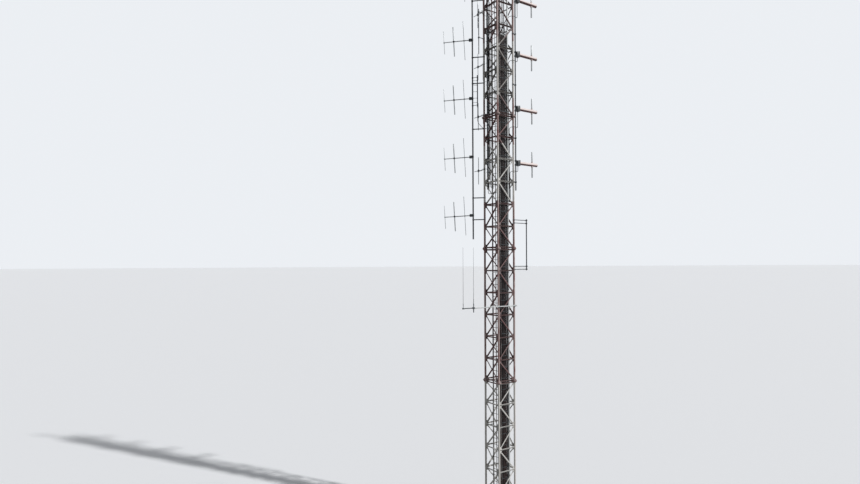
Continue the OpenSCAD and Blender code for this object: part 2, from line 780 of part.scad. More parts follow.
// Whips on the outrigger's cross arm: ferrule, loading coil and thin rod
module whip_antennas() {
    foot = [whip_post / 2, 30];
    ends = [0, whip_arm_len - 35];
    color(STEEL)
        for (i = [0, 1])
            translate([outrigger_x, outrigger_end - ends[i], outrigger_z + foot[i] + seat_gap]) {
                cylinder(d = 34, h = 60);
                cylinder(d = 22, h = whip_coil);
                cylinder(d1 = 16, d2 = 8, h = whip_len - foot[i]);
            }
}

// Room beside the rack through which cables enter the mast
entry_x = rack_x - rack_w / 2 - 25;
// How far in front of the front face they come
entry_y = -half - 135;

// Cable from the yagi array's divider into the mast and across to its feeder
function yagi_feed() = [
    at(divider_at, divider_foot - port_h), at(divider_at, feed_z + 300),
    [entry_x, entry_y - 20, feed_z], [entry_x, feed_y, feed_z], [feeder_at(0).x, feed_y, feed_z],
    at(feeder_at(0), feed_z), at(feeder_at(0), feed_z - 200)];

// Cable from the side dipoles' divider across to its feeder
function side_feed() = let(y = rack_y + rack_t + seat_gap + 20) [
    [rack_x, y, side_divider_z - port_h], [rack_x, y, side_feed_z], [feeder_at(1).x, y, side_feed_z],
    at(feeder_at(1), side_feed_z), at(feeder_at(1), side_feed_z - 200)];

// Cable from antenna i of the yagi array to its port on the divider
function yagi_jumper(i) = let(
    turn = boom_point(i, 150, jumper_beside, 0))
    [boom_point(i, yagi_spacing[1] - feed_box_l / 2, jumper_beside, 0), turn,
        at(jumper_at(i), turn.z), at(jumper_at(i), port_z(i)),
        at(divider_at + port_dir(i) * (divider_d / 2 + port_h), port_z(i))];

// Cable from side dipole i round the left leg to the rack
function side_jumper(i) = let(
    z = mast_top - side_drops[i - 1] - side_d / 2 - cable_gap - jumper_d / 2,
    turn = mast_top - next_mid(side_drops[i - 1]) + 150)
    [[-half - side_rod_out + 45, -half, z], [-half - 135, -half, z], [-half - 65, entry_y, z],
        [entry_x, entry_y, z], [entry_x, entry_y, turn], [entry_x, side_lane(i).y, turn],
        at(side_lane(i), turn), at(side_lane(i), side_divider_z + side_divider_h + port_h)];

// Cable from tube dipole i round the right leg and down beside the cable ladder
function tube_jumper(i) = let(
    box_y = tube_at.y + tube_box_out + tube_box_l / 2,
    foot = tube_z(i) - 0.45 * tube_box_h,
    turn = mast_top - next_mid(mast_top - foot))
    [[half, box_y, foot], [half, box_y, turn], [half + 110, box_y - 130, turn],
        [half + 110, tube_lane(i).y + 100, turn], at(tube_lane(i), turn),
        at(tube_lane(i), tube_divider_z + tube_divider_h + port_h)];

// Cables between the antennas, the power dividers and the feeders
module jumper_cables() {
    color(BLACK) {
        cable(yagi_feed(), feed_d);
        cable(side_feed(), feed_d);
        for (i = [1:yagi_count]) cable(yagi_jumper(i), jumper_d);
        for (i = [1:len(side_drops)]) cable(side_jumper(i), jumper_d);
        for (i = [1:tube_count]) cable(tube_jumper(i), feed_d);
    }
}

module lightning_rod() {
    tip = 60;
    color(STEEL)
        translate(at(leg_back, mast_top)) {
            cylinder(d = 120, h = 10);
            cylinder(d = 34, h = 400);
            cylinder(d = 16, h = lightning_len - tip);
            translate([0, 0, lightning_len - tip]) cylinder(d1 = 16, d2 = 2, h = tip);
        }
}

// Warning lamp on a short post: housing, finned collar and lens
module obstruction_light() {
    lens_h = 95;
    translate(at(leg_front, mast_top)) {
        color(STEEL) {
            cylinder(d = 120, h = 10);
            cylinder(d = 34, h = light_post);
            translate([0, 0, light_post - weld]) cylinder(d = 110, h = 50);
            for (z = [12, 26, 40]) translate([0, 0, light_post + z]) cylinder(d = 128, h = 5);
        }
        color(RED)
            translate([0, 0, light_post + 49 - weld])
                rotate_extrude()
                    intersection() {
                        translate([0, 0]) square([45, lens_h]);
                        union() {
                            square([45, lens_h - 45]);
                            translate([0, lens_h - 45]) circle(r = 45);
                        }
                    }
    }
}

plinth();
for (s = [1:sections]) {
    section_legs(s);
    for (k = [0:3])
        section_bracing(s, k);
}
ladder();
cable_ladder();
feeder_cables();
harness_rack();
jumper_cables();
yagi_pole();
for (i = [1:yagi_count])
    yagi(i);
power_dividers();
tube_dipole_pole();
for (i = [1:tube_count])
    tube_dipole(i);
side_dipoles();
collinear_antenna();
standoff_pole();
outrigger();
whip_antennas();
lightning_rod();
obstruction_light();
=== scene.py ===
"""A free-standing lattice radio mast in red and white, with its antennas, seen from the photo's place."""
import math

import bpy
from mathutils import Matrix, Quaternion, Vector


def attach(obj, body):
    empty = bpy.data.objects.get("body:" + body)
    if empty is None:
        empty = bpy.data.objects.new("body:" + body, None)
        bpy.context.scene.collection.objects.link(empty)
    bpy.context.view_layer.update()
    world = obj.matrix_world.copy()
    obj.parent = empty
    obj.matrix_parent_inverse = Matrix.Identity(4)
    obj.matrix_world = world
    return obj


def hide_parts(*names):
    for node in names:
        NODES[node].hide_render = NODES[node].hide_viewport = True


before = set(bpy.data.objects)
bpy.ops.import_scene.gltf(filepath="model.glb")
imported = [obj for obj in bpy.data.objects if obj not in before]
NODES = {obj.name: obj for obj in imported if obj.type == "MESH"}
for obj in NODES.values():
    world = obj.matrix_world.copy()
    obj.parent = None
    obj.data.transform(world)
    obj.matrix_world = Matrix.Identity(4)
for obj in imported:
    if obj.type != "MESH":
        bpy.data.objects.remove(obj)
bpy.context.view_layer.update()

# Sizes of the mast in metres, as the part's source gives them
HALF = 0.465
LEG_R = 0.0445
PLINTH_TOP = 0.4
BAY = 1.0
BAYS = 6
SECTIONS = 4
SECTION = BAY * BAYS
TOP = PLINTH_TOP + SECTIONS * SECTION
LEG_FRONT = Vector((HALF, -HALF, 0))
LEG_RIGHT = Vector((HALF, HALF, 0))
LEG_BACK = Vector((-HALF, HALF, 0))
LEG_LEFT = Vector((-HALF, -HALF, 0))
LEGS = (LEG_FRONT, LEG_RIGHT, LEG_BACK, LEG_LEFT)

# Where the sun stands, seen from the mast: the lamp's direction, and the side on which the paint is painted
# paler, a painted highlight
SUN_SIDE = (0.67, 0.40, 0.62)
FLOOR_RADIUS = 4000


# ---- The camera, at the photo's place ----

def make_camera():
    """A 24 mm lens held level, 26.3 m away and 11.7 m up; the shift sets the horizon near the photo's,
    and the slight roll is the photo's own"""
    heading, roll = math.radians(146.06), math.radians(-0.284)
    data = bpy.data.cameras.new("camera")
    data.sensor_width = 36
    data.lens = 23.99
    data.shift_y = 0.0267
    data.clip_end = FLOOR_RADIUS * 1.5
    camera = bpy.data.objects.new("camera", data)
    bpy.context.scene.collection.objects.link(camera)
    camera.location = (19.92, -17.22, 11.67)
    level = Vector((math.cos(heading), math.sin(heading), 0)).to_track_quat("-Z", "Y")
    camera.rotation_euler = (level @ Quaternion((0, 0, 1), roll)).to_euler()
    bpy.context.scene.camera = camera


# ---- Materials ----

def srgb(code):
    """An sRGB hex colour as linear RGBA"""
    parts = [int(code[i:i + 2], 16) / 255 for i in (1, 3, 5)]
    return tuple(p / 12.92 if p <= 0.04045 else ((p + 0.055) / 1.055) ** 2.4 for p in parts) + (1,)


def add(tree, kind, inputs=None, feeds=None, **settings):
    """Adds a node with its settings; each input is a value or the socket that feeds it, and the node's
    first output may feed a socket of the shader"""
    made = tree.nodes.new(kind)
    for name, value in settings.items():
        setattr(made, name, value)
    for name, value in (inputs or {}).items():
        if isinstance(value, bpy.types.NodeSocket):
            tree.links.new(value, made.inputs[name])
        else:
            made.inputs[name].default_value = value
    if feeds is not None:
        tree.links.new(made.outputs[0], feeds)
    return made


def surface(name, roughness, metallic=0.0, **inputs):
    """A new material; returns it, its tree, its shader and the place on the object"""
    material = bpy.data.materials.new(name)
    material.use_nodes = True
    tree = material.node_tree
    shader = tree.nodes["Principled BSDF"]
    shader.inputs["Metallic"].default_value = metallic
    shader.inputs["Roughness"].default_value = roughness
    for key, value in inputs.items():
        shader.inputs[key.replace("_", " ")].default_value = value
    place = add(tree, "ShaderNodeTexCoord").outputs["Object"]
    return material, tree, shader, place


def spots(tree, place, size, lo, hi, detail=4.0, stretch=(1, 1, 1)):
    """Noise with spots of a size in metres, turned to 0 below lo and 1 above hi"""
    drawn_out = add(tree, "ShaderNodeMapping", {"Vector": place, "Scale": stretch}).outputs[0]
    noise = add(tree, "ShaderNodeTexNoise", {"Vector": drawn_out, "Scale": 1 / size, "Detail": detail})
    return add(tree, "ShaderNodeMapRange",
               {"Value": noise.outputs[0], "From Min": lo, "From Max": hi}).outputs[0]


def coat(tree, under, over, where, share=1.0):
    """Lays one colour over another where a pattern is 1, thinned to a share, and gives what then shows"""
    if share != 1.0:
        where = add(tree, "ShaderNodeMath", {0: where, 1: share}, operation="MULTIPLY").outputs[0]
    return add(tree, "ShaderNodeMix", {0: where, 6: under, 7: over}, data_type="RGBA").outputs[2]


def mast_paint(name, red, white, chalk_and_highlight, grime_and_shade):
    """Alkyd paint brushed over galvanised steel, in red and white bands by height.
    It is chalked in patches, and painted paler on the side that faces the sun, a painted highlight: there
    the red goes pinkish, while the other side stays deep. Grey runs of grime lie on it, thicker as painted
    shade in the darker copies, and the paint has flaked to grey zinc and rust in spots, so it is matt and
    uneven."""
    material, tree, shader, place = surface(name, roughness=0.62)
    span = 30.0
    height = add(tree, "ShaderNodeSeparateXYZ", {0: place}).outputs[2]
    part = add(tree, "ShaderNodeMath", {0: height, 1: span}, operation="DIVIDE").outputs[0]
    bands = add(tree, "ShaderNodeValToRGB", {0: part})
    ramp = bands.color_ramp
    ramp.interpolation = "CONSTANT"
    ramp.elements[0].color = srgb(white)
    ramp.elements.remove(ramp.elements[1])
    for foot, colour in ((6.30, red), (14.5, white), (17.0, red), (19.2, white), (21.7, red)):
        ramp.elements.new(foot / span).color = srgb(colour)
    fresh = bands.outputs[0]
    chalk = spots(tree, place, 0.30, 0.24, 0.56)
    # The side that faces the sun is painted paler: a painted highlight over the chalk patches
    normal = add(tree, "ShaderNodeNewGeometry").outputs["Normal"]
    facing = add(tree, "ShaderNodeVectorMath", {0: normal, 1: SUN_SIDE},
                 operation="DOT_PRODUCT").outputs["Value"]
    painted_sunlit_side = add(tree, "ShaderNodeMapRange", {"Value": facing, "From Min": -0.4, "From Max": 0.7,
                                              "To Min": chalk_and_highlight * 0.25, "To Max": chalk_and_highlight}).outputs[0]
    painted = coat(tree, fresh, coat(tree, fresh, srgb("#d9d0cc"), 0.66), chalk, painted_sunlit_side)
    # Grey runs below the joints: noise drawn out five times along the height, laid on thicker in the darker
    # copies as painted shade
    grime = spots(tree, place, 0.05, 0.44, 0.70, 5.0, (1, 1, 0.2))
    painted = coat(tree, painted, srgb("#4b4543"), grime, grime_and_shade)
    flakes = spots(tree, place, 0.022, 0.66, 0.69, 6.0)
    painted = coat(tree, painted, srgb("#8f8f8c"), flakes)
    rust = spots(tree, place, 0.06, 0.66, 0.74, 8.0, (1, 1, 0.5))
    tree.links.new(coat(tree, painted, srgb("#6b3f27"), rust), shader.inputs["Base Color"])
    add(tree, "ShaderNodeMapRange", {"Value": flakes, "To Min": 0.62, "To Max": 0.48},
        shader.inputs["Roughness"])
    add(tree, "ShaderNodeBump", {"Height": flakes, "Distance": -0.0004, "Strength": 0.7},
        shader.inputs["Normal"])
    return material


def zinc(name, dark, light, roughness, stain=0.3, metallic=0.55):
    """Hot-dip galvanised steel gone dull outdoors: spangles about 12 mm wide in near greys, with
    white bloom and brown stains; part metal, part grey carbonate, so it has a soft broad gloss."""
    material, tree, shader, place = surface(name, roughness, metallic)
    crystals = add(tree, "ShaderNodeTexVoronoi", {"Vector": place, "Scale": 1 / 0.012})
    tone = add(tree, "ShaderNodeSeparateColor", {0: crystals.outputs["Color"]}).outputs[0]
    bloom = spots(tree, place, 0.16, 0.50, 0.80)
    streak = spots(tree, place, 0.045, 0.56, 0.76, 6.0, (1, 1, 0.25))
    colour = coat(tree, srgb(dark), srgb(light), tone)
    colour = coat(tree, colour, srgb("#a3a7a8"), bloom, 0.3)
    tree.links.new(coat(tree, colour, srgb("#5c4a3c"), streak, stain), shader.inputs["Base Color"])
    add(tree, "ShaderNodeBump", {"Height": tone, "Distance": 0.0001, "Strength": 0.4},
        shader.inputs["Normal"])
    return material


def weathered_aluminium():
    """Extruded aluminium tube left bare: a grey oxide skin with fine lines drawn along it and pale
    pitting, still metal below it, so it gleams softly where the sun strikes."""
    material, tree, shader, place = surface("bare_aluminium_oxidised", metallic=0.8, roughness=0.42)
    lines = spots(tree, place, 0.004, 0.35, 0.70, 2.0, (1, 1, 0.05))
    pits = spots(tree, place, 0.010, 0.62, 0.72, 5.0)
    colour = coat(tree, srgb("#8e9193"), srgb("#b4b6b6"), lines)
    tree.links.new(coat(tree, colour, srgb("#cfd0cd"), pits), shader.inputs["Base Color"])
    add(tree, "ShaderNodeMapRange", {"Value": pits, "To Min": 0.40, "To Max": 0.65},
        shader.inputs["Roughness"])
    return material


def cable_sheath():
    """Extruded black polyethylene sheath: near black with a waxy gloss, greyed by dust in
    blotches a hand wide; some of the cables have gone brown with age."""
    material, tree, shader, place = surface("black_polyethylene_sheath", roughness=0.55,
                                            Specular_IOR_Level=0.3)
    old = spots(tree, place, 0.035, 0.40, 0.66, 0.0, (1, 1, 0.002))
    dust = spots(tree, place, 0.09, 0.45, 0.80)
    colour = coat(tree, srgb("#101113"), srgb("#35221f"), old)
    tree.links.new(coat(tree, colour, srgb("#4a4a48"), dust, 0.3), shader.inputs["Base Color"])
    add(tree, "ShaderNodeMapRange", {"Value": dust, "To Min": 0.50, "To Max": 0.75},
        shader.inputs["Roughness"])
    return material


def antenna_red():
    """Red marine paint sprayed on the tube dipoles: pale pink and matt on top, a painted highlight, and
    deep red below, painted shade, with small chips to the grey primer."""
    material, tree, shader, place = surface("sprayed_red_paint_lit_and_shaded", roughness=0.5)
    # Pale on top and dark below by how far the surface faces up: painted highlight and painted shade
    normal = add(tree, "ShaderNodeNewGeometry").outputs["Normal"]
    upward = add(tree, "ShaderNodeSeparateXYZ", {0: normal}).outputs[2]
    painted_sunlit_side = add(tree, "ShaderNodeMapRange",
                 {"Value": upward, "From Min": -0.42, "From Max": -0.12}).outputs[0]
    wear = spots(tree, place, 0.12, 0.45, 0.75)
    chips = spots(tree, place, 0.015, 0.69, 0.71, 6.0)
    colour = coat(tree, srgb("#4c1f1d"), srgb("#e6d8d4"), painted_sunlit_side)
    colour = coat(tree, colour, srgb("#c7a8a2"), wear, 0.2)
    tree.links.new(coat(tree, colour, srgb("#77797a"), chips), shader.inputs["Base Color"])
    add(tree, "ShaderNodeBump", {"Height": chips, "Distance": -0.0004, "Strength": 0.6},
        shader.inputs["Normal"])
    return material


def box_enamel():
    """Dark grey stove enamel on cast aluminium boxes: an orange-peel skin about 2 mm across, even
    in colour, with pale dust where rain doesn't reach."""
    material, tree, shader, place = surface("stoved_grey_enamel", roughness=0.40)
    dust = spots(tree, place, 0.07, 0.52, 0.80)
    tree.links.new(coat(tree, srgb("#3d4043"), srgb("#62625f"), dust), shader.inputs["Base Color"])
    peel = add(tree, "ShaderNodeTexNoise", {"Vector": place, "Scale": 1 / 0.002, "Detail": 1.0}).outputs[0]
    add(tree, "ShaderNodeBump", {"Height": peel, "Distance": 0.00015, "Strength": 0.5},
        shader.inputs["Normal"])
    return material


def glass_fibre():
    """Pultruded glass-fibre tube with a worn white gelcoat: chalky off-white with fine lines of
    fibre showing along it."""
    material, tree, shader, place = surface("pultruded_glass_fibre", roughness=0.55)
    fibres = spots(tree, place, 0.003, 0.40, 0.75, 2.0, (1, 1, 0.04))
    tree.links.new(coat(tree, srgb("#d9d9d3"), srgb("#b3b2a8"), fibres), shader.inputs["Base Color"])
    return material


def lacquered_whip():
    """Glass-fibre whip under dark grey lacquer: satin gone dull, worn paler along its fibres."""
    material, tree, shader, place = surface("lacquered_glass_fibre_whip", roughness=0.48)
    fibres = spots(tree, place, 0.003, 0.45, 0.80, 2.0, (1, 1, 0.04))
    tree.links.new(coat(tree, srgb("#2a2d30"), srgb("#54575a"), fibres), shader.inputs["Base Color"])
    return material


def cast_concrete():
    """Concrete cast in a timber form: pale grey with sand grain, air holes a few millimetres wide
    and broad damp patches."""
    material, tree, shader, place = surface("board_cast_concrete", roughness=0.88)
    damp = spots(tree, place, 0.55, 0.40, 0.72)
    grain = spots(tree, place, 0.004, 0.35, 0.70, 3.0)
    holes = spots(tree, place, 0.018, 0.68, 0.71, 3.0)
    colour = coat(tree, srgb("#b3b0a8"), srgb("#8f8c85"), damp)
    colour = coat(tree, colour, srgb("#d0cdc4"), grain, 0.35)
    tree.links.new(coat(tree, colour, srgb("#5f5d59"), holes), shader.inputs["Base Color"])
    relief = add(tree, "ShaderNodeMath", {0: grain, 1: holes}, operation="SUBTRACT").outputs[0]
    add(tree, "ShaderNodeBump", {"Height": relief, "Distance": 0.002}, shader.inputs["Normal"])
    return material


def lamp_glass():
    """Pressed red glass of a warning lamp: clear deep red with a bright skin and faint moulded
    rings 9 mm apart."""
    material, tree, shader, place = surface("pressed_red_glass", roughness=0.12, Transmission_Weight=0.55,
                                            Coat_Weight=0.5)
    rings = add(tree, "ShaderNodeTexWave", {"Vector": place, "Scale": 1 / 0.009 / 6.283, "Distortion": 0.0},
                bands_direction="Z", wave_profile="SIN").outputs[1]
    tree.links.new(coat(tree, srgb("#a3120f"), srgb("#7a0b0a"), rings), shader.inputs["Base Color"])
    add(tree, "ShaderNodeBump", {"Height": rings, "Distance": 0.0012, "Strength": 0.7},
        shader.inputs["Normal"])
    return material


def black_rubber():
    """Moulded rubber of boots, grommets and tape: flat black gone grey with age."""
    material, tree, shader, place = surface("moulded_black_rubber", roughness=0.8)
    worn = spots(tree, place, 0.03, 0.45, 0.75)
    tree.links.new(coat(tree, srgb("#191919"), srgb("#343433"), worn), shader.inputs["Base Color"])
    return material


# Three copies of one paint: the legs' is chalked paler towards the sun, a painted highlight; the bracing's is
# darker and greyer, painted shade; the top section's bracing is darker still, its white band grey
LEG_PAINT = mast_paint("chalked_and_sunlit_paint_on_legs", "#7d4643", "#dfdeda", 0.95, 0.28)
PAINT = mast_paint("brushed_alkyd_paint_bands", "#58292a", "#d3d2ce", 0.28, 0.48)
TOP_PAINT = mast_paint("darkest_paint_at_the_top", "#4c2829", "#7d7b77", 0.25, 0.70)
GALVANISED = zinc("hot_dip_galvanised_steel", "#7f8487", "#9ca1a3", 0.5)
DARK_ZINC = zinc("aged_dark_galvanised_steel", "#3c4145", "#555a5e", 0.62, 0.45, 0.3)
# A paler copy of galvanised steel for the outrigger pipe and the cable ladder: a paler zinc, and in part a
# painted highlight for the sun on them
BRIGHT_ZINC = zinc("pale_zinc_with_painted_highlight", "#aeb1b2", "#cfd1d0", 0.5, 0.25, 0.25)
BOLT_ZINC = zinc("galvanised_bolts", "#8a8e90", "#aeb1b2", 0.42, 0.6)
ALUMINIUM = weathered_aluminium()
SHEATH = cable_sheath()
ANTENNA_RED = antenna_red()
ENAMEL = box_enamel()
FIBRE = glass_fibre()
WHIP = lacquered_whip()
CONCRETE = cast_concrete()
GLASS = lamp_glass()
RUBBER = black_rubber()


# ---- Modelling by hand: a start shape, its edit, its copies ----

def clear_selection():
    """Makes no piece a selected one"""
    bpy.ops.object.select_all(action="DESELECT")


def pick(piece):
    """Makes a piece the only selected one"""
    clear_selection()
    piece.select_set(True)
    bpy.context.view_layer.objects.active = piece


def turn_to(axis):
    """The rotation that lays a shape's own Z along an axis"""
    return Vector(axis).to_track_quat("Z", "Y").to_euler()


def drum(middle, radius, height, sides, rotation=(0, 0, 0)):
    """A plain cylinder with flat ends"""
    clear_selection()
    bpy.ops.mesh.primitive_cylinder_add(vertices=sides, radius=radius, depth=height, location=middle,
                                        rotation=rotation)
    return bpy.context.object


def round_the_ends(width, steps):
    """Rounds the edges of the open piece's end faces, the only ones with more than four sides"""
    bpy.ops.object.mode_set(mode="EDIT")
    bpy.ops.mesh.select_mode(type="FACE")
    bpy.ops.mesh.select_all(action="DESELECT")
    bpy.ops.mesh.select_face_by_sides(number=4, type="GREATER")
    bpy.ops.mesh.bevel(offset=width, segments=steps, affect="EDGES")
    bpy.ops.object.mode_set(mode="OBJECT")


def round_bar(a, b, radius, sides, rounding):
    """A round bar or capped tube from a to b, with its end edges rounded by a share of its radius"""
    a, b = Vector(a), Vector(b)
    drum((a + b) / 2, radius, (b - a).length, sides, turn_to(b - a))
    round_the_ends(radius * rounding, 2)
    return bpy.context.object


def upright_bar(x, y, low, high, radius, sides, rounding):
    """A round bar that stands at x, y from one height to another"""
    return round_bar((x, y, low), (x, y, high), radius, sides, rounding)


def tapered_rod(x, y, low, height, radius_low, radius_high):
    """A thin round rod that stands at x, y and tapers"""
    clear_selection()
    bpy.ops.mesh.primitive_cone_add(vertices=12, radius1=radius_low, radius2=radius_high, depth=height,
                                    location=(x, y, low + height / 2))
    return bpy.context.object


def block(middle, size, rounding, turn=0.0, steps=2):
    """A block with its edges rounded in so many steps, turned about Z"""
    clear_selection()
    bpy.ops.mesh.primitive_cube_add(size=1, location=middle, rotation=(0, 0, turn), scale=size)
    bpy.ops.object.transform_apply(location=False, rotation=False, scale=True)
    bpy.ops.object.mode_set(mode="EDIT")
    bpy.ops.mesh.select_all(action="SELECT")
    bpy.ops.mesh.bevel(offset=rounding, segments=steps, affect="EDGES")
    bpy.ops.object.mode_set(mode="OBJECT")
    return bpy.context.object


def ring(middle, axis, radius, thickness, height, sides):
    """A clamp's band: a ring of a wall's thickness about an axis"""
    clear_selection()
    bpy.ops.mesh.primitive_cylinder_add(vertices=sides, radius=radius, depth=height, end_fill_type="NOTHING",
                                        location=middle, rotation=turn_to(axis))
    band = bpy.context.object
    wall = band.modifiers.new("wall", "SOLIDIFY")
    wall.thickness = thickness
    wall.offset = 1
    edge = band.modifiers.new("edge", "BEVEL")
    edge.width = thickness * 0.2
    bpy.ops.object.modifier_apply(modifier="wall")
    bpy.ops.object.modifier_apply(modifier="edge")
    return band


def bent_rod(points, radius, sides=8):
    """A bar or cable along points, as a tube with closed ends"""
    curve = bpy.data.curves.new("rod", "CURVE")
    curve.dimensions = "3D"
    curve.bevel_depth = radius
    curve.bevel_resolution = max(0, sides // 4 - 1)
    curve.use_fill_caps = True
    line = curve.splines.new("POLY")
    line.points.add(len(points) - 1)
    for spot, point in zip(line.points, points):
        spot.co = (*point, 1)
    made = bpy.data.objects.new("rod", curve)
    bpy.context.scene.collection.objects.link(made)
    pick(made)
    bpy.ops.object.convert(target="MESH")
    return bpy.context.object


def join(parts):
    """Joins pieces into one whose object sits at the origin"""
    clear_selection()
    for part in parts:
        part.select_set(True)
    bpy.context.view_layer.objects.active = parts[0]
    if len(parts) > 1:
        bpy.ops.object.join()
    bpy.ops.object.transform_apply(location=True, rotation=True, scale=True)
    return bpy.context.object


def copy_to(model, places):
    """Puts a copy of a modelled piece at each place and joins them; the model itself goes"""
    made = []
    for place in places:
        twin = bpy.data.objects.new(model.name, model.data.copy())
        bpy.context.scene.collection.objects.link(twin)
        twin.matrix_world = place
        made.append(twin)
    bpy.data.objects.remove(model)
    bpy.context.view_layer.update()
    return join(made)


def moved(x, y, z, turn=0.0):
    """A place for a copy: turned about Z by degrees, then moved"""
    return Matrix.Translation((x, y, z)) @ Matrix.Rotation(math.radians(turn), 4, "Z")


def finish(piece, name, material, slot, *stands_for):
    """Names a piece, gives it its material and sets it on the mast"""
    piece.name = name
    piece.data.name = name
    piece.data.materials.clear()
    piece.data.materials.append(material)
    pick(piece)
    bpy.ops.object.shade_smooth_by_angle(angle=math.radians(35))
    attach(piece, "root")
    if stands_for:
        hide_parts(*stands_for)


def merged_twin(node, name):
    """A copy of a CAD node with its doubles merged, left open in edit mode with all of it selected"""
    twin = bpy.data.objects.new(name, NODES[node].data.copy())
    bpy.context.scene.collection.objects.link(twin)
    pick(twin)
    bpy.ops.object.mode_set(mode="EDIT")
    bpy.ops.mesh.select_all(action="SELECT")
    bpy.ops.mesh.remove_doubles(threshold=0.00002)
    return twin


def smooth_twin(node, name, material, slot):
    """A copy of a round CAD node without the normals that it came with, so that its tubes shade as round"""
    twin = merged_twin(node, name)
    bpy.ops.object.mode_set(mode="OBJECT")
    bpy.ops.mesh.customdata_custom_splitnormals_clear()
    finish(twin, name, material, slot, node)


def keep(node, material):
    """Leaves a CAD node as it is, with a better material"""
    slots = NODES[node].data.materials
    for place in range(len(slots)):
        slots[place] = material
    if not slots:
        slots.append(material)


def bolt(size, grip):
    """A hexagon bolt along Z with its head at the top: grip is the thickness that it holds, half of
    it below the origin. The head, both washers, the nut and the thread's end stand clear of it."""
    head, nut, washer, corners = size * 0.65, size * 0.65 * 1.2, size * 0.18, size * 0.92
    parts = []
    for side, height in ((1, head), (-1, nut)):
        parts.append(drum((0, 0, side * (grip / 2 + size * 0.09)), size * 1.1, washer, 16))
        parts.append(drum((0, 0, side * (grip / 2 + washer + height / 2)), corners, height, 6))
        round_the_ends(size * 0.12, 1)
    thread_start = -(grip / 2 + washer + nut)
    parts.append(drum((0, 0, thread_start - size * 0.2), size / 2, size * 0.7, 10))
    return join(parts)


def lies(x, y, z, towards):
    """A place for a bolt whose head looks towards a direction"""
    return Matrix.Translation((x, y, z)) @ turn_to(towards).to_matrix().to_4x4()


def on_each_face(places):
    """The places on the front face, repeated on the other three"""
    return [Matrix.Rotation(math.radians(90 * k), 4, "Z") @ place for k in range(4) for place in places]


# ---- The mast itself ----

def dress_mast():
    """The mast's own nodes in better materials; the round ones give way to smooth copies"""
    keep("plinth", CONCRETE)
    for s in range(1, SECTIONS + 1):
        smooth_twin(f"section_{s}_legs", f"leg_tubes_{s}", LEG_PAINT, "white_paint" if s % 2 else "red_paint")
        for side in ("front", "right", "back", "left"):
            keep(f"section_{s}_{side}_bracing", TOP_PAINT if s == SECTIONS else PAINT)
    smooth_twin("ladder", "climbing_ladder", PAINT, "galvanised_steel")
    keep("cable_ladder", BRIGHT_ZINC)
    keep("harness_rack", DARK_ZINC)
    smooth_twin("feeder_cables", "feeder_runs", SHEATH, "cable_jacket")


def bolt_the_joints():
    """Six M16 bolts through each pair of flanges"""
    circle = 0.085
    spots = [Vector((circle * math.cos(a), circle * math.sin(a), 0))
             for a in (math.radians(60 * i + 30) for i in range(6))]
    places = [Matrix.Translation(leg + spot + Vector((0, 0, PLINTH_TOP + s * SECTION)))
              for s in range(1, SECTIONS) for leg in LEGS for spot in spots]
    finish(copy_to(bolt(0.016, 0.040), places), "joint_bolts", BOLT_ZINC, "galvanised_steel")


def anchor_the_base():
    """Grout pads, and four M24 anchors with washers and double nuts at each leg"""
    pads = [block((leg.x, leg.y, PLINTH_TOP + 0.004), (0.312, 0.312, 0.012), 0.004) for leg in LEGS]
    finish(join(pads), "grout_pads", CONCRETE, "concrete")
    top = PLINTH_TOP + 0.020
    anchors = []
    washer, nut, thread = (0.006, 0.024, 20), (0.022, 0.0208, 6), (0.030, 0.012, 12)
    for depth, radius, sides in (washer, nut, nut, thread):
        anchors.append(drum((0, 0, top + depth / 2), radius, depth, sides))
        round_the_ends(0.0015, 1)
        top += depth
    places = [Matrix.Translation(leg + Vector((dx, dy, 0)))
              for leg in LEGS for dx in (-0.11, 0.11) for dy in (-0.11, 0.11)]
    finish(copy_to(join(anchors), places), "anchor_bolts", BOLT_ZINC, "galvanised_steel")


def level_height(s, n):
    """Height of level bar n of section s"""
    gap = 0.052 if n == 0 else -0.052 if n == BAYS else 0
    return PLINTH_TOP + (s - 1) * SECTION + n * BAY + gap


def bolt_the_bracing():
    """Two M12 bolts through each end of every level and cross bar"""
    half_run = 0.36
    for s in range(1, SECTIONS + 1):
        places = [lies(x, -HALF - 0.003, level_height(s, n) - 0.004, (0, -1, 0))
                  for n in range(BAYS + 1) for x in (-0.382, -0.346, 0.346, 0.382)]
        for n in range(BAYS):
            z0, z1 = level_height(s, n), level_height(s, n + 1)
            rise = z1 - z0 - 0.19
            lean = 1 if (BAYS - n) % 2 == 1 else -1
            run = Vector((2 * half_run * lean, 0, rise)).normalized()
            for end, step in ((-1, 0), (-1, 0.034), (1, 0), (1, -0.034)):
                middle = Vector((end * lean * half_run, -HALF + 0.003, (z0 + z1) / 2 + end * rise / 2))
                places.append(lies(*(middle + run * step), (0, -1, 0)))
        finish(copy_to(bolt(0.012, 0.014), on_each_face(places)), f"bracing_bolts_{s}", BOLT_ZINC,
               "galvanised_steel")


# ---- Saddles, clamps and poles ----

YAGI_POLE = Vector((-0.84, -0.84, 0))
TUBE_POLE = Vector((HALF, 0.605, 0))
COLLINEAR = Vector((-HALF, -0.765, 0))
SPARE_PIPE = Vector((HALF, 1.245, 0))
YAGI_FOOT = TOP - 10.46
YAGI_PITCH = 2.69
YAGIS = 5
YAGI_HEADING = 230
YAGI_DROOP = 3
BOOM_TO_JUMPER = 0.0421
YAGI_ELEMENTS = ((0.385, 1.79, 0.012), (0.860, 1.36, 0.0225), (1.305, 1.07, 0.012))
TUBE_FOOT = TOP - 8.10
OUTRIGGER_X = HALF + 0.095
OUTRIGGER_Z = TOP - 14.59
OUTRIGGER_END = -HALF - 1.48
TUBE_PITCH = 2.48
TUBE_DIPOLES = 4
TUBE_BOX_REACH = 0.131
TUBE_ROD_REACH = 1.0185
SIDE_DROPS = (8.37, 5.86, 3.54, 1.11)
SIDE_ROD_X = -0.435
COLLINEAR_FOOT = TOP - 3.11
COLLINEAR_LENGTH = 2.03
SPARE_FOOT = TOP - 13
CAP = 0.007

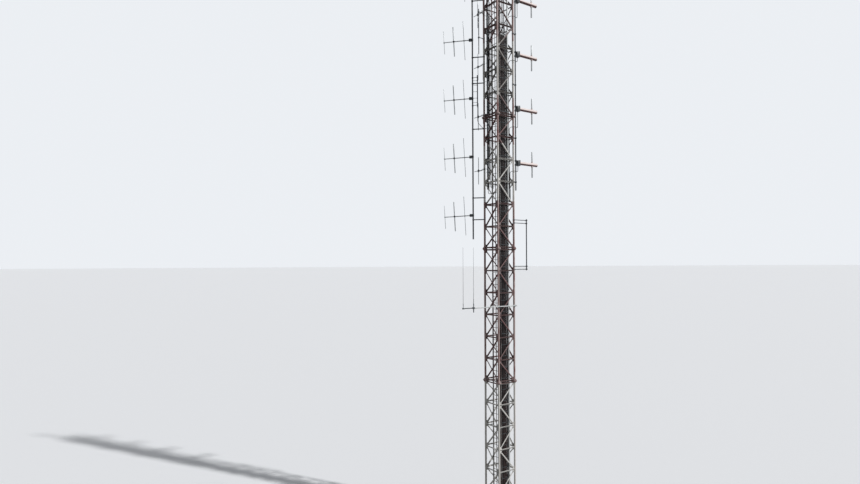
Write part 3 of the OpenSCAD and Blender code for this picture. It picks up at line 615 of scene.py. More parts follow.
# Every arm: the leg, the pole, the pole's radius and the heights
ARMS = (
    (LEG_LEFT, YAGI_POLE, 0.0325, [TOP - d for d in (0.6, 3.2, 4.4, 6.5, 9.66, 10.66)]),
    (LEG_RIGHT, TUBE_POLE, 0.0285, [TOP - d for d in (0.4, 2.25, 4.56, 6.98, 8.98)]),
    (LEG_LEFT, COLLINEAR, 0.019, [COLLINEAR_FOOT + part * COLLINEAR_LENGTH for part in (0.36, 0.93)]),
    (LEG_RIGHT, SPARE_PIPE, 0.025, [SPARE_FOOT + z for z in (0.05, 0.19, 2.16, 2.30)]),
)


def saddle_places():
    """Where U-bolts pull a saddle on to a leg: the leg and the height"""
    saddles = [(leg, z) for leg, _, _, heights in ARMS for z in heights]
    saddles += [(LEG_LEFT, TOP - drop) for drop in SIDE_DROPS]
    return saddles + [(LEG_FRONT, OUTRIGGER_Z), (LEG_RIGHT, OUTRIGGER_Z)]


def strap_the_saddles():
    """Two M10 U-bolts round the inner side of the leg at each saddle, with nuts on the saddle's lips"""
    parts = []
    radius = LEG_R + 0.006
    for lift in (-0.018, 0.018):
        bend = [(-radius * math.sin(a), radius * math.cos(a), lift)
                for a in (math.radians(180 * i / 12) for i in range(13))]
        parts.append(bent_rod([(0.045, radius, lift)] + bend + [(0.045, -radius, lift)], 0.005))
        for side in (-1, 1):
            for x0, x1 in ((0.022, 0.031), (0.033, 0.042)):
                parts.append(round_bar((x0, side * radius, lift), (x1, side * radius, lift), 0.0095, 6, 0.12))
    for side in (-1, 1):
        parts.append(block((0.018, side * (radius + 0.001), 0), (0.007, 0.028, 0.062), 0.0015))
    model = join(parts)
    places = [moved(leg.x, leg.y, z, math.degrees(math.atan2(leg.y, leg.x))) for leg, z in saddle_places()]
    finish(copy_to(model, places), "saddle_u_bolts", BOLT_ZINC, "galvanised_steel")


def bolt_the_clamps():
    """Two M10 bolts through each ear of the clamps on the poles"""
    places = []
    for leg, pole, radius, heights in ARMS:
        along = (pole - leg).normalized()
        across = Vector((-along.y, along.x, 0))
        out = radius + 0.008 + 0.011
        for z in heights:
            for side in (-1, 1):
                for lift in (-0.015, 0.015):
                    spot = pole + across * (side * out) + Vector((0, 0, z + lift))
                    places.append(lies(*spot, along))
    finish(copy_to(bolt(0.010, 0.016), places), "clamp_bolts", BOLT_ZINC, "galvanised_steel")


def cap_the_poles():
    """Weathered plastic plugs in the upper ends of the poles"""
    tops = ((YAGI_POLE, YAGI_FOOT + (YAGIS - 1) * YAGI_PITCH + 0.700, 0.034), (TUBE_POLE, TOP - 0.1, 0.030),
            (SPARE_PIPE, SPARE_FOOT + 2.35, 0.0265))
    caps = [upright_bar(pole.x, pole.y, top, top + CAP, radius, 24, 0.15) for pole, top, radius in tops]
    finish(join(caps), "pole_caps", RUBBER, "cable_jacket")


def cut_outrigger(name, material, kept, *stands_for):
    """The outrigger on one side of its end block: its pipe is a paler zinc than the whips' arm, in part a
    painted highlight
    """
    twin = merged_twin("outrigger", name)
    bpy.ops.mesh.bisect(plane_co=(0, OUTRIGGER_END + 0.06, 0), plane_no=(0, kept, 0), clear_inner=True,
                        use_fill=True)
    bpy.ops.object.mode_set(mode="OBJECT")
    finish(twin, name, material, "galvanised_steel", *stands_for)


def dress_poles():
    """Smooth copies of the poles, the outrigger in two pieces, and plugs in the poles' upper ends"""
    smooth_twin("yagi_pole", "yagi_pole_tube", DARK_ZINC, "galvanised_steel")
    smooth_twin("tube_dipole_pole", "tube_dipole_pole_tube", DARK_ZINC, "galvanised_steel")
    smooth_twin("standoff_pole", "spare_pipe", DARK_ZINC, "galvanised_steel")
    cut_outrigger("outrigger_pipe", BRIGHT_ZINC, 1, "outrigger")
    cut_outrigger("whip_arm", DARK_ZINC, -1)
    cap_the_poles()


# ---- Antennas ----

def model_yagi_metal():
    """Boom, three upright elements and their brackets, the boom along +X from the pole"""
    parts = [round_bar((0.036, 0, 0), (1.335, 0, 0), 0.021, 24, 0.25)]
    driven = YAGI_ELEMENTS[1][0]
    for x, length, radius in YAGI_ELEMENTS:
        parts.append(round_bar((x, 0, -length / 2), (x, 0, length / 2), radius, 20, 0.5))
    for x, _, _ in YAGI_ELEMENTS[::2]:
        parts.append(block((x, 0, 0), (0.0576, 0.0640, 0.0640), 0.006))
        for side in (-1, 1):
            parts.append(round_bar((x, side * 0.022, 0.030), (x, side * 0.022, 0.0335), 0.006, 6, 0.1))
    # Ferrules where the driven rod's halves enter the insulator
    for side in (-1, 1):
        parts.append(round_bar((driven, 0, side * 0.037), (driven, 0, side * 0.070), 0.0255, 24, 0.2))
        parts.append(round_bar((driven, 0, side * 0.640), (driven, 0, side * 0.655), 0.0222, 20, 0.1))
    return join(parts)


def model_yagi_clamp():
    """Two half shells with bolted ears about the yagi pole, and the bracket that holds the boom"""
    shank = (-0.018, 0.018, 0.005, 10, 0.1)
    nut, head = (0.008, 0.0155, 0.0092, 6, 0.12), (-0.0155, -0.008, 0.0092, 6, 0.12)
    parts = [ring((0, 0, 0), (0, 0, 1), 0.0330, 0.0075, 0.10, 32)]
    for side in (-1, 1):
        for face in (-1, 1):
            parts.append(block((face * 0.0052, side * 0.0510, 0), (0.0056, 0.0230, 0.10), 0.001))
        for lift in (-0.03, 0.03):
            for x0, x1, radius, sides, rounding in (shank, nut, head):
                parts.append(round_bar((x0, side * 0.053, lift), (x1, side * 0.053, lift), radius, sides,
                                       rounding))
    parts.append(block((0.046, 0, 0), (0.020, 0.056, 0.070), 0.004))
    # Channel bracket round the boom's root, with two bolts through each web
    for side in (-1, 1):
        parts.append(block((0.100, side * 0.0275, 0), (0.128, 0.006, 0.128), 0.002))
        for x in (0.072, 0.134):
            for z in (-0.044, 0.044):
                parts.append(round_bar((x, side * 0.030, z), (x, side * 0.038, z), 0.0092, 6, 0.12))
    parts.append(block((0.040, 0, 0), (0.008, 0.056, 0.128), 0.002))
    return join(parts)


def model_yagi_feed():
    """Centre insulator, and on the boom's side a feed box with its lid, four screws and cable socket"""
    x = YAGI_ELEMENTS[1][0]
    parts = [round_bar((x, 0, -0.0378), (x, 0, 0.0378), 0.0295, 28, 0.18),
             block((x, 0.0260, 0), (0.080, 0.052, 0.040), 0.004),
             block((x, 0.0535, 0), (0.084, 0.006, 0.044), 0.002)]
    for dx in (-0.034, 0.034):
        for dz in (-0.014, 0.014):
            parts.append(round_bar((x + dx, 0.056, dz), (x + dx, 0.0595, dz), 0.0038, 8, 0.25))
    parts.append(round_bar((x - 0.058, BOOM_TO_JUMPER, 0), (x - 0.036, BOOM_TO_JUMPER, 0), 0.0100, 16, 0.2))
    return join(parts)


def make_yagis():
    """Five alike on one pole, each drooping a little from its level clamp"""
    for i in range(YAGIS):
        level = moved(YAGI_POLE.x, YAGI_POLE.y, YAGI_FOOT + i * YAGI_PITCH, YAGI_HEADING)
        drooped = level @ Matrix.Rotation(math.radians(YAGI_DROOP), 4, "Y")
        finish(copy_to(model_yagi_metal(), [drooped]), f"yagi_{i + 1}_elements", ALUMINIUM, "aluminium",
               f"yagi_{i + 1}")
        finish(copy_to(model_yagi_clamp(), [level]), f"yagi_{i + 1}_clamp", DARK_ZINC, "galvanised_steel")
        finish(copy_to(model_yagi_feed(), [drooped]), f"yagi_{i + 1}_feed_box", ENAMEL, "cable_jacket")


def model_tube_dipole_box():
    """Cast feed box that flares towards the tube, with lids and a cable gland; y runs from the pole"""
    clear_selection()
    bpy.ops.mesh.primitive_cube_add(size=1, location=(0, TUBE_BOX_REACH, 0), scale=(0.186, 0.165, 0.270))
    bpy.ops.object.transform_apply(location=False, rotation=False, scale=True)
    case = bpy.context.object
    for corner in case.data.vertices:
        if corner.co.y < 0:
            corner.co.z *= 0.8
    bpy.ops.object.mode_set(mode="EDIT")
    bpy.ops.mesh.select_all(action="SELECT")
    bpy.ops.mesh.bevel(offset=0.008, segments=3, affect="EDGES")
    bpy.ops.object.mode_set(mode="OBJECT")
    parts = [case]
    # Lids on both broad sides, each with four screws
    for side in (-1, 1):
        parts.append(block((side * 0.0935, TUBE_BOX_REACH, 0), (0.005, 0.125, 0.185), 0.002))
        for y in (0.080, 0.182):
            for z in (-0.080, 0.080):
                parts.append(round_bar((side * 0.093, y, z), (side * 0.0975, y, z), 0.0065, 8, 0.25))
    parts.append(block((0, 0.0425, 0), (0.070, 0.020, 0.248), 0.003))
    parts.append(upright_bar(0, TUBE_BOX_REACH, -0.140, -0.118, 0.020, 6, 0.12))
    parts.append(upright_bar(0, TUBE_BOX_REACH, -0.157, -0.139, 0.0155, 16, 0.25))
    return join(parts)


def model_tube_dipole_clamps():
    """Two bands round the pole, each with bolted ears"""
    shank, head = (-0.019, 0.020, 0.005, 10, 0.1), (-0.016, -0.008, 0.0092, 6, 0.12)
    parts = []
    for z in (-0.090, 0.090):
        parts.append(ring((0, 0, z), (0, 0, 1), 0.0288, 0.0078, 0.070, 28))
        for side in (-1, 1):
            parts.append(block((side * 0.0475, 0, z), (0.022, 0.015, 0.070), 0.0015))
            for lift in (-0.018, 0.018):
                for y0, y1, radius, sides, rounding in (shank, head):
                    parts.append(round_bar((side * 0.049, y0, z + lift), (side * 0.049, y1, z + lift), radius,
                                           sides, rounding))
    return join(parts)


def model_tube_dipole_tube():
    """Level tube with a weld flange, band clamps and a rounded end cap"""
    start, end, rod = 0.2115, 1.3095, TUBE_ROD_REACH
    parts = [drum((0, (start + end) / 2, 0), 0.0775, end - start, 48, turn_to((0, 1, 0)))]
    round_the_ends(0.012, 3)
    parts.append(ring((0, 0.2215, 0), (0, 1, 0), 0.0765, 0.0155, 0.016, 48))
    parts.append(ring((0, 1.2855, 0), (0, 1, 0), 0.0770, 0.0040, 0.034, 48))
    for y in (0.55, rod - 0.058, rod + 0.058):
        parts.append(ring((0, y, 0), (0, 1, 0), 0.0773, 0.0018, 0.010, 48))
    # Six screws in the weld flange's face
    for i in range(6):
        a = math.radians(60 * i + 30)
        x, z = 0.0850 * math.cos(a), 0.0850 * math.sin(a)
        parts.append(round_bar((x, 0.2285, z), (x, 0.2345, z), 0.0058, 6, 0.12))
    # Collar where the rod passes through
    parts.append(round_bar((0, rod, -0.1225), (0, rod, 0.1225), 0.043, 32, 0.12))
    for z in (-0.110, 0.110):
        parts.append(ring((0, rod, z), (0, 0, 1), 0.0425, 0.0022, 0.012, 32))
    return join(parts)


def model_tube_dipole_rod():
    """Upright rod with a rim below and above the tube, and a narrow one near each end"""
    parts = [upright_bar(0, TUBE_ROD_REACH, -0.600, 0.600, 0.031, 28, 0.35)]
    for side in (-1, 1):
        parts.append(ring((0, TUBE_ROD_REACH, side * 0.140), (0, 0, 1), 0.0308, 0.003, 0.024, 28))
        parts.append(ring((0, TUBE_ROD_REACH, side * 0.560), (0, 0, 1), 0.0308, 0.0012, 0.008, 28))
    return join(parts)


def make_tube_dipoles():
    """Four alike on one pole, each of a tube, a rod, a feed box and clamps"""
    for i in range(TUBE_DIPOLES):
        place = moved(TUBE_POLE.x, TUBE_POLE.y, TUBE_FOOT + i * TUBE_PITCH)
        node = f"tube_dipole_{i + 1}"
        finish(copy_to(model_tube_dipole_tube(), [place]), f"{node}_tube", ANTENNA_RED, "red_paint", node)
        finish(copy_to(model_tube_dipole_rod(), [place]), f"{node}_rod", ALUMINIUM, "aluminium")
        finish(copy_to(model_tube_dipole_box(), [place]), f"{node}_box", ENAMEL, "cable_jacket")
        finish(copy_to(model_tube_dipole_clamps(), [place]), f"{node}_clamps", DARK_ZINC, "galvanised_steel")


def make_side_dipoles():
    """Level arm, upright rod, feed block with its screws, and a saddle on the leg"""
    parts = [round_bar((-LEG_R - 0.004, 0, 0), (-0.740, 0, 0), 0.017, 20, 0.4),
             upright_bar(SIDE_ROD_X, 0, -0.630, -0.036, 0.017, 20, 0.5),
             upright_bar(SIDE_ROD_X, 0, 0.036, 0.630, 0.017, 20, 0.5)]
    for x in (-0.62, -0.25):
        parts.append(ring((x, 0, 0), (1, 0, 0), 0.0168, 0.0012, 0.012, 20))
    metal = join(parts)
    places = [moved(-HALF, -HALF, TOP - drop) for drop in SIDE_DROPS]
    finish(copy_to(metal, places), "side_dipole_rods", ALUMINIUM, "aluminium", "side_dipoles")
    parts = [block((SIDE_ROD_X, 0, 0), (0.090, 0.060, 0.072), 0.005)]
    for dx in (-0.032, 0.032):
        for dz in (-0.022, 0.022):
            x = SIDE_ROD_X + dx
            parts.append(round_bar((x, -0.034, dz), (x, 0.034, dz), 0.0055, 6, 0.15))
    parts.append(upright_bar(SIDE_ROD_X, 0, -0.075, -0.034, 0.022, 24, 0.2))
    parts.append(upright_bar(SIDE_ROD_X, 0, 0.034, 0.075, 0.022, 24, 0.2))
    finish(copy_to(join(parts), places), "side_dipole_feed_blocks", ENAMEL, "cable_jacket")
    half = [(LEG_R + 0.004) * Vector((math.cos(a), math.sin(a), 0))
            for a in (math.radians(225 + t) for t in range(-75, 76, 10))]
    clear_selection()
    bpy.ops.mesh.primitive_grid_add(x_subdivisions=len(half) - 1, y_subdivisions=1, size=1)
    shell = bpy.context.object
    for corner in shell.data.vertices:
        step = round((corner.co.x + 0.5) * (len(half) - 1))
        corner.co = half[step] + Vector((0, 0, 0.05 * corner.co.y))
    wall = shell.modifiers.new("wall", "SOLIDIFY")
    wall.thickness = 0.0075
    wall.offset = 0
    bpy.ops.object.modifier_apply(modifier="wall")
    finish(copy_to(shell, places), "side_dipole_saddles", DARK_ZINC, "galvanised_steel")


def make_collinear():
    """White radome with two narrow bands, in a ferrule with its socket below"""
    x, y, foot = COLLINEAR.x, COLLINEAR.y, COLLINEAR_FOOT
    parts = [upright_bar(x, y, foot + 0.32, foot + COLLINEAR_LENGTH, 0.0185, 24, 0.6)]
    for part in (0.8, 1.4):
        parts.append(ring((x, y, foot + part), (0, 0, 1), 0.0184, 0.0009, 0.05, 24))
    finish(join(parts), "collinear_radome", FIBRE, "fibreglass")
    parts = [upright_bar(x, y, foot, foot + 0.33, 0.019, 24, 0.15),
             upright_bar(x, y, foot - 0.04, foot + 0.002, 0.0133, 16, 0.1),
             ring((x, y, foot + 0.30), (0, 0, 1), 0.0188, 0.0015, 0.03, 24)]
    finish(join(parts), "collinear_ferrule", ALUMINIUM, "aluminium")
    smooth_twin("collinear_antenna", "collinear_mount", DARK_ZINC, "galvanised_steel")


def make_whips():
    """Ferrule with hexagon, loading coil under a ribbed sleeve, and a thin tapered rod"""
    rods, sleeves, ferrules = [], [], []
    for reach, foot in ((0.0, 0.190), (0.560, 0.030)):
        x, y, z = OUTRIGGER_X, OUTRIGGER_END - reach, OUTRIGGER_Z + foot
        rods.append(tapered_rod(x, y, z + 0.19, 2.41 - foot, 0.0078, 0.0040))
        rods.append(upright_bar(x, y, z + 2.6 - foot - 0.012, z + 2.6 - foot, 0.0048, 10, 0.4))
        sleeves.append(upright_bar(x, y, z + 0.055, z + 0.170, 0.011, 20, 0.2))
        for n in range(3):
            sleeves.append(ring((x, y, z + 0.085 + n * 0.030), (0, 0, 1), 0.0108, 0.0014, 0.012, 20))
        sleeves.append(upright_bar(x, y, z + 0.165, z + 0.200, 0.0092, 16, 0.4))
        ferrules.append(upright_bar(x, y, z + 0.0005, z + 0.060, 0.0165, 24, 0.12))
        ferrules.append(upright_bar(x, y, z + 0.018, z + 0.036, 0.0170, 6, 0.10))
    finish(join(rods), "whip_rods", WHIP, "fibreglass", "whip_antennas")
    finish(join(sleeves), "whip_sleeves", RUBBER, "cable_jacket")
    finish(join(ferrules), "whip_ferrules", ALUMINIUM, "aluminium")


def bolt_the_outrigger():
    """U-bolts over the outrigger at both legs, and bolts in its end block"""
    parts = []
    x, z, bend_r = OUTRIGGER_X, OUTRIGGER_Z, 0.029
    for leg in (LEG_FRONT, LEG_RIGHT):
        for y in (leg.y - 0.02, leg.y + 0.02):
            bend = [(x + bend_r * math.sin(a), y, z + bend_r * math.cos(a))
                    for a in (math.radians(180 * i / 12) for i in range(13))]
            parts.append(bent_rod([(x - 0.060, y, z + bend_r), *bend, (x - 0.060, y, z - bend_r)], 0.004))
    for dz in (-0.028, 0.028):
        for y in (OUTRIGGER_END - 0.033, OUTRIGGER_END + 0.033):
            for near, far in ((0.034, 0.042), (-0.045, -0.034)):
                parts.append(round_bar((x + near, y, z + dz), (x + far, y, z + dz), 0.0092, 6, 0.12))
    finish(join(parts), "outrigger_bolts", BOLT_ZINC, "galvanised_steel")


def flange_screws(x, y, first):
    """Three screws in the round flange on a leg's top, the first at an angle in degrees"""
    spots = [(x + 0.042 * math.cos(a), y + 0.042 * math.sin(a))
             for a in (math.radians(120 * i + first) for i in range(3))]
    return [upright_bar(*spot, TOP + 0.009, TOP + 0.019, 0.0095, 6, 0.12) for spot in spots]


def make_lightning_rod():
    """A flange and a short pipe on the back leg, and the rod with its point"""
    x, y = LEG_BACK.x, LEG_BACK.y
    parts = [upright_bar(x, y, TOP, TOP + 0.010, 0.060, 32, 0.04),
             upright_bar(x, y, TOP, TOP + 0.400, 0.017, 20, 0.2),
             upright_bar(x, y, TOP + 0.36, TOP + 1.94, 0.008, 12, 0.1),
             tapered_rod(x, y, TOP + 1.938, 0.062, 0.008, 0.001), *flange_screws(x, y, 0),
             ring((x, y, TOP + 0.385), (0, 0, 1), 0.0165, 0.003, 0.022, 20)]
    finish(join(parts), "lightning_spike", GALVANISED, "galvanised_steel", "lightning_rod")


def make_obstruction_light():
    """A flange and a short pipe on the front leg, a ribbed housing with its gland, and the lens"""
    x, y = LEG_FRONT.x, LEG_FRONT.y
    foot = TOP + 0.25
    parts = [upright_bar(x, y, TOP, TOP + 0.010, 0.060, 32, 0.04),
             upright_bar(x, y, TOP, foot + 0.005, 0.017, 20, 0.1),
             upright_bar(x, y, foot, foot + 0.049, 0.055, 36, 0.10)]
    for z in (0.0145, 0.0285, 0.0425):
        parts.append(upright_bar(x, y, foot + z - 0.0022, foot + z + 0.0022, 0.064, 36, 0.02))
    parts += flange_screws(x, y, 60)
    parts.append(round_bar((x + 0.05, y, foot + 0.02), (x + 0.068, y, foot + 0.02), 0.009, 14, 0.2))
    finish(join(parts), "warning_lamp_housing", ENAMEL, "galvanised_steel", "obstruction_light")
    # The lens: the upper half of a ball, with its flat underside drawn down to the housing
    middle = (x, y, foot + 0.0975)
    clear_selection()
    bpy.ops.mesh.primitive_uv_sphere_add(segments=36, ring_count=18, radius=0.045, location=middle)
    bpy.ops.object.mode_set(mode="EDIT")
    bpy.ops.mesh.select_all(action="SELECT")
    bpy.ops.mesh.bisect(plane_co=middle, plane_no=(0, 0, -1), clear_outer=True, use_fill=True)
    bpy.ops.mesh.select_mode(type="FACE")
    bpy.ops.mesh.select_all(action="DESELECT")
    bpy.ops.mesh.select_face_by_sides(number=4, type="GREATER")
    bpy.ops.mesh.extrude_region_move(TRANSFORM_OT_translate={"value": (0, 0, -0.0495)})
    bpy.ops.object.mode_set(mode="OBJECT")
    finish(join([bpy.context.object]), "warning_lamp_lens", GLASS, "lamp_glass")


# ---- Cables ----

def eased(points, radius):
    """Rounds the corners of a route: each becomes a short even curve of six points"""
    points = [Vector(p) for p in points]
    route = [points[0]]
    for before, corner, after in zip(points, points[1:], points[2:]):
        cut = min(radius, (corner - before).length * 0.48, (after - corner).length * 0.48)
        start = corner + (before - corner).normalized() * cut
        end = corner + (after - corner).normalized() * cut
        for i in range(7):
            t = i / 6
            route.append(start * (1 - t) ** 2 + corner * (2 * t * (1 - t)) + end * t ** 2)
    return route + [points[-1]]


DIVIDER = YAGI_POLE + Vector((0.215, 0.115, 0))
DIVIDER_FOOT = TOP - 5.5
DIVIDER_LENGTH = 1.45
PORTS = [DIVIDER_FOOT + DIVIDER_LENGTH * part for part in (0.14, 0.28, 0.48, 0.69, 0.83)]
LANES = (0.102, 0.084, 0.120, 0.084, 0.102)
BOOM = Vector((math.cos(math.radians(YAGI_HEADING)), math.sin(math.radians(YAGI_HEADING)), 0))
BESIDE = Vector((-BOOM.y, BOOM.x, 0))
RACK_X = -HALF + 0.165
RACK_Y = -HALF + 0.053 + 0.004
RACK_FOOT = TOP - 9.3
SPLITTER_Y = RACK_Y + 0.0263
TRAY_X = HALF - 0.115
TRAY_Y = -0.025
TRAY_HALF = 0.225
TRAY_LIP = 0.045
# The feeders on the cable ladder: their places across it, diameters and upper ends; a jumper
# leads on from those that end at the height of the tails
TAILS_START = 22.0
FEEDERS = ((-0.206, 0.028, 24.10), (-0.175, 0.028, 22.0), (-0.137, 0.042, 22.0), (-0.092, 0.042, 24.05),
           (-0.054, 0.028, 22.0), (-0.023, 0.028, 22.0), (0.002, 0.016, 23.9), (0.109, 0.042, 22.0),
           (0.157, 0.028, 22.0))
OUTER_FEEDERS = (-0.2643, -0.2926, 0.2143)
# Thin cables that lie between the feeders on the cable ladder
THIN_FEEDERS = ((0.025, 0.022, 23.6), (0.048, 0.022, 22.5), (0.071, 0.022, 21.9))
# Loose cables: their places, radii and upper ends
BUNDLE_FOOT = RACK_FOOT + 0.45
BUNDLE = ((-0.397, -0.343, 0.008, 24.1), (-0.370, -0.346, 0.008, 23.1), (-0.345, -0.342, 0.010, 24.2),
          (-0.318, -0.345, 0.008, 24.0), (-0.290, -0.342, 0.010, 23.1), (-0.262, -0.343, 0.010, 24.1),
          (-0.234, -0.343, 0.008, 23.0))
ON_LADDER = ((-0.212, -0.222, 0.011, 24.05), (-0.235, -0.218, 0.011, 23.05), (-0.220, -0.200, 0.008, 22.0),
             (0.212, -0.222, 0.011, 24.1), (0.232, -0.212, 0.008, 23.1))
ON_FRONT_FACE = ((0.216, -0.399, 0.012, 23.6), (0.240, -0.402, 0.008, 21.55))
# Cables tied inside the front face's level bars; they end in boots just below their lowest tie
SHORT_RUNS = ((-0.140, -0.402, 0.008, 23.6, 15.2), (-0.085, -0.400, 0.010, 23.5, 15.15),
              (-0.010, -0.402, 0.008, 23.55, 15.2), (0.062, -0.400, 0.010, 22.6, 15.1))
BY_TRAY = ((0.332, 0.226, 0.010, 24.0), (0.314, 0.214, 0.008, 22.1), (0.395, -0.268, 0.008, 24.1),
           (0.372, -0.318, 0.008, 22.0), (0.395, -0.292, 0.010, 23.1))


def up(spot, z):
    """The point at a height above or below a spot"""
    return Vector((spot.x, spot.y, z))


def next_bay_middle(drop):
    """Height of the middle of the first bay at least 0.1 m below a drop from the mast's top"""
    return TOP - (math.ceil((drop + 0.1) / BAY - 0.5) + 0.5) * BAY


DIVIDER_FEED_Z = next_bay_middle(6.0)


def tube_socket(i):
    """Where the jumper of tube dipole i meets the splitter beside the cable ladder"""
    return TRAY_X + 0.011, TRAY_Y + TRAY_HALF + TRAY_LIP + 0.030 * (3 - i + 0.5)


def side_socket(i):
    """Where the jumper of side dipole i meets the splitter on the rack"""
    return RACK_X + (i - 1.5) * 0.024, RACK_Y + 0.0145


def yagi_jumper(i):
    """From the feed box back along the boom, then along the pole to the divider's port"""
    z = YAGI_FOOT + i * YAGI_PITCH
    lane = YAGI_POLE + BESIDE * LANES[i]
    towards = (lane - DIVIDER).normalized()
    sine, cosine = math.sin(math.radians(YAGI_DROOP)), math.cos(math.radians(YAGI_DROOP))
    along = [up(YAGI_POLE + BOOM * (r * cosine) + BESIDE * BOOM_TO_JUMPER, z - r * sine)
             for r in (YAGI_ELEMENTS[1][0] - 0.040, 0.150)]
    return along + [up(lane, along[1].z), up(lane, PORTS[i]), up(DIVIDER + towards * 0.050, PORTS[i])]


def side_jumper(i):
    """Along the dipole's arm, round the left leg, through a bay's middle and down to the rack's splitter"""
    z = TOP - SIDE_DROPS[i] - 0.0255
    turn = next_bay_middle(SIDE_DROPS[i]) + 0.15
    lane_x, lane_y = side_socket(i)
    entry_x, entry_y = RACK_X - 0.080, -HALF - 0.135
    falls = [(entry_x, entry_y, z)] if z - turn > 0.15 else []
    return [(-HALF - 0.39, -HALF, z), (-HALF - 0.135, -HALF, z), (-HALF - 0.065, entry_y, z), *falls,
            (entry_x, entry_y, turn), (entry_x, lane_y + 0.014, turn), (lane_x, lane_y, turn - 0.15),
            (lane_x, lane_y, RACK_FOOT + 0.36)]


def tube_jumper(i):
    """From the feed box's gland down, in through a bay's middle and down beside the cable ladder"""
    box_y = TUBE_POLE.y + TUBE_BOX_REACH
    foot = TUBE_FOOT + i * TUBE_PITCH - 0.156
    turn = next_bay_middle(TOP - foot - 0.0345)
    lane_x, lane_y = tube_socket(i)
    return [(HALF, box_y, foot), (HALF, box_y, turn), (HALF + 0.10, box_y - 0.20, turn),
            (HALF + 0.10, lane_y + 0.1, turn), (lane_x, lane_y, turn), (lane_x, lane_y, RACK_FOOT + 0.03)]


def divider_feeds():
    """From the tube divider and from the rack's splitter across to the outer feeders, which go on down"""
    divider_z, rack_z = DIVIDER_FEED_Z, next_bay_middle(9.3)
    feed_y = RACK_Y + 0.006 + 0.014 + 0.016
    entry_x, entry_y = RACK_X - 0.104, -HALF - 0.155
    x = TRAY_X + 0.0143
    first, second = OUTER_FEEDERS[:2]
    return ([up(DIVIDER, DIVIDER_FOOT - 0.03), up(DIVIDER, divider_z + 0.3), (entry_x, entry_y, divider_z),
             (entry_x, feed_y, divider_z), (x - 0.25, feed_y, divider_z), (x, first, divider_z),
             (x, first, divider_z - 0.2)],
            [(RACK_X, SPLITTER_Y, RACK_FOOT - 0.01), (RACK_X, SPLITTER_Y, rack_z),
             (x - 0.25, SPLITTER_Y, rack_z), (x, second, rack_z), (x, second, rack_z - 0.2)])


def lay_jumpers():
    """The antennas' jumpers, and the two thicker cables that lead down from the divider and the splitter"""
    runs = [bent_rod(eased(yagi_jumper(i), 0.08), 0.007, 12) for i in range(YAGIS)]
    runs += [bent_rod(eased(side_jumper(i), 0.08), 0.007, 12) for i in range(len(SIDE_DROPS))]
    runs += [bent_rod(eased(tube_jumper(i), 0.125), 0.011, 12) for i in range(TUBE_DIPOLES)]
    runs += [bent_rod(eased(route, 0.11), 0.011, 12) for route in divider_feeds()]
    finish(join(runs), "jumper_runs", SHEATH, "cable_jacket", "jumper_cables")


def make_dividers():
    """The tube divider with its sockets and its two clamps on the yagi pole"""
    foot, top = DIVIDER_FOOT, DIVIDER_FOOT + DIVIDER_LENGTH
    tube = [round_bar(up(DIVIDER, foot), up(DIVIDER, top), 0.025, 28, 0.2)]
    for z in (foot + 0.012, top - 0.012):
        tube.append(ring(up(DIVIDER, z), (0, 0, 1), 0.0248, 0.003, 0.022, 28))
    for lane, z in zip(LANES, PORTS):
        towards = (YAGI_POLE + BESIDE * lane - DIVIDER).normalized()
        near, far = up(DIVIDER + towards * 0.020, z), up(DIVIDER + towards * 0.055, z)
        tube.append(round_bar(near, far, 0.012, 6, 0.12))
    tube.append(round_bar(up(DIVIDER, foot - 0.032), up(DIVIDER, foot + 0.002), 0.015, 6, 0.12))
    away = (DIVIDER - YAGI_POLE).normalized()
    across = Vector((-away.y, away.x, 0))
    for part in (0.06, 0.94):
        z = foot + part * DIVIDER_LENGTH
        tube.append(round_bar(up(YAGI_POLE + away * 0.036, z), up(DIVIDER, z), 0.0125, 16, 0.1))
        tube.append(ring(up(YAGI_POLE, z), (0, 0, 1), 0.0330, 0.0075, 0.050, 32))
        for side in (-1, 1):
            spot = YAGI_POLE + across * (side * 0.0515)
            tube.append(block(up(spot, z), (0.016, 0.022, 0.050), 0.0015, math.atan2(away.y, away.x)))
    finish(join(tube), "yagi_divider", DARK_ZINC, "cable_jacket", "power_dividers")


def make_splitters():
    """Two flat boxes with lids, one beside the cable ladder and one on the rack, and their sockets"""
    y0 = TRAY_Y + TRAY_HALF + 0.0003
    boxes = [block((TRAY_X + 0.011, y0 + 0.0825, RACK_FOOT - 0.300), (0.038, 0.165, 0.600), 0.005),
             block((TRAY_X + 0.031, y0 + 0.1075, RACK_FOOT - 0.300), (0.004, 0.108, 0.570), 0.0015),
             block((RACK_X, SPLITTER_Y, RACK_FOOT + 0.185), (0.110, 0.040, 0.330), 0.005),
             block((RACK_X, RACK_Y + 0.0450, RACK_FOOT + 0.185), (0.096, 0.004, 0.306), 0.0015)]
    for i in range(4):
        boxes.append(upright_bar(*tube_socket(i), RACK_FOOT - 0.002, RACK_FOOT + 0.030, 0.0130, 6, 0.1))
        boxes.append(upright_bar(*side_socket(i), RACK_FOOT + 0.348, RACK_FOOT + 0.378, 0.0090, 6, 0.1))
    outlet = (TRAY_X + 0.0143, OUTER_FEEDERS[2])
    boxes.append(upright_bar(*outlet, RACK_FOOT - 0.630, RACK_FOOT - 0.598, 0.0140, 24, 0.1))
    boxes.append(upright_bar(RACK_X, SPLITTER_Y, RACK_FOOT - 0.012, RACK_FOOT + 0.022, 0.0150, 6, 0.1))
    finish(join(boxes), "splitter_boxes", ENAMEL, "cable_jacket")


def boot(x, y, z, radius, side):
    """A rubber boot over a thin cable's end; side is 1 at its upper end and -1 at its lower end"""
    return [upright_bar(x, y, z - side * 0.055, z + side * 0.004, radius * 1.45, 14, 0.3),
            upright_bar(x, y, z - side * 0.080, z - side * 0.050, radius * 1.2, 14, 0.3)]


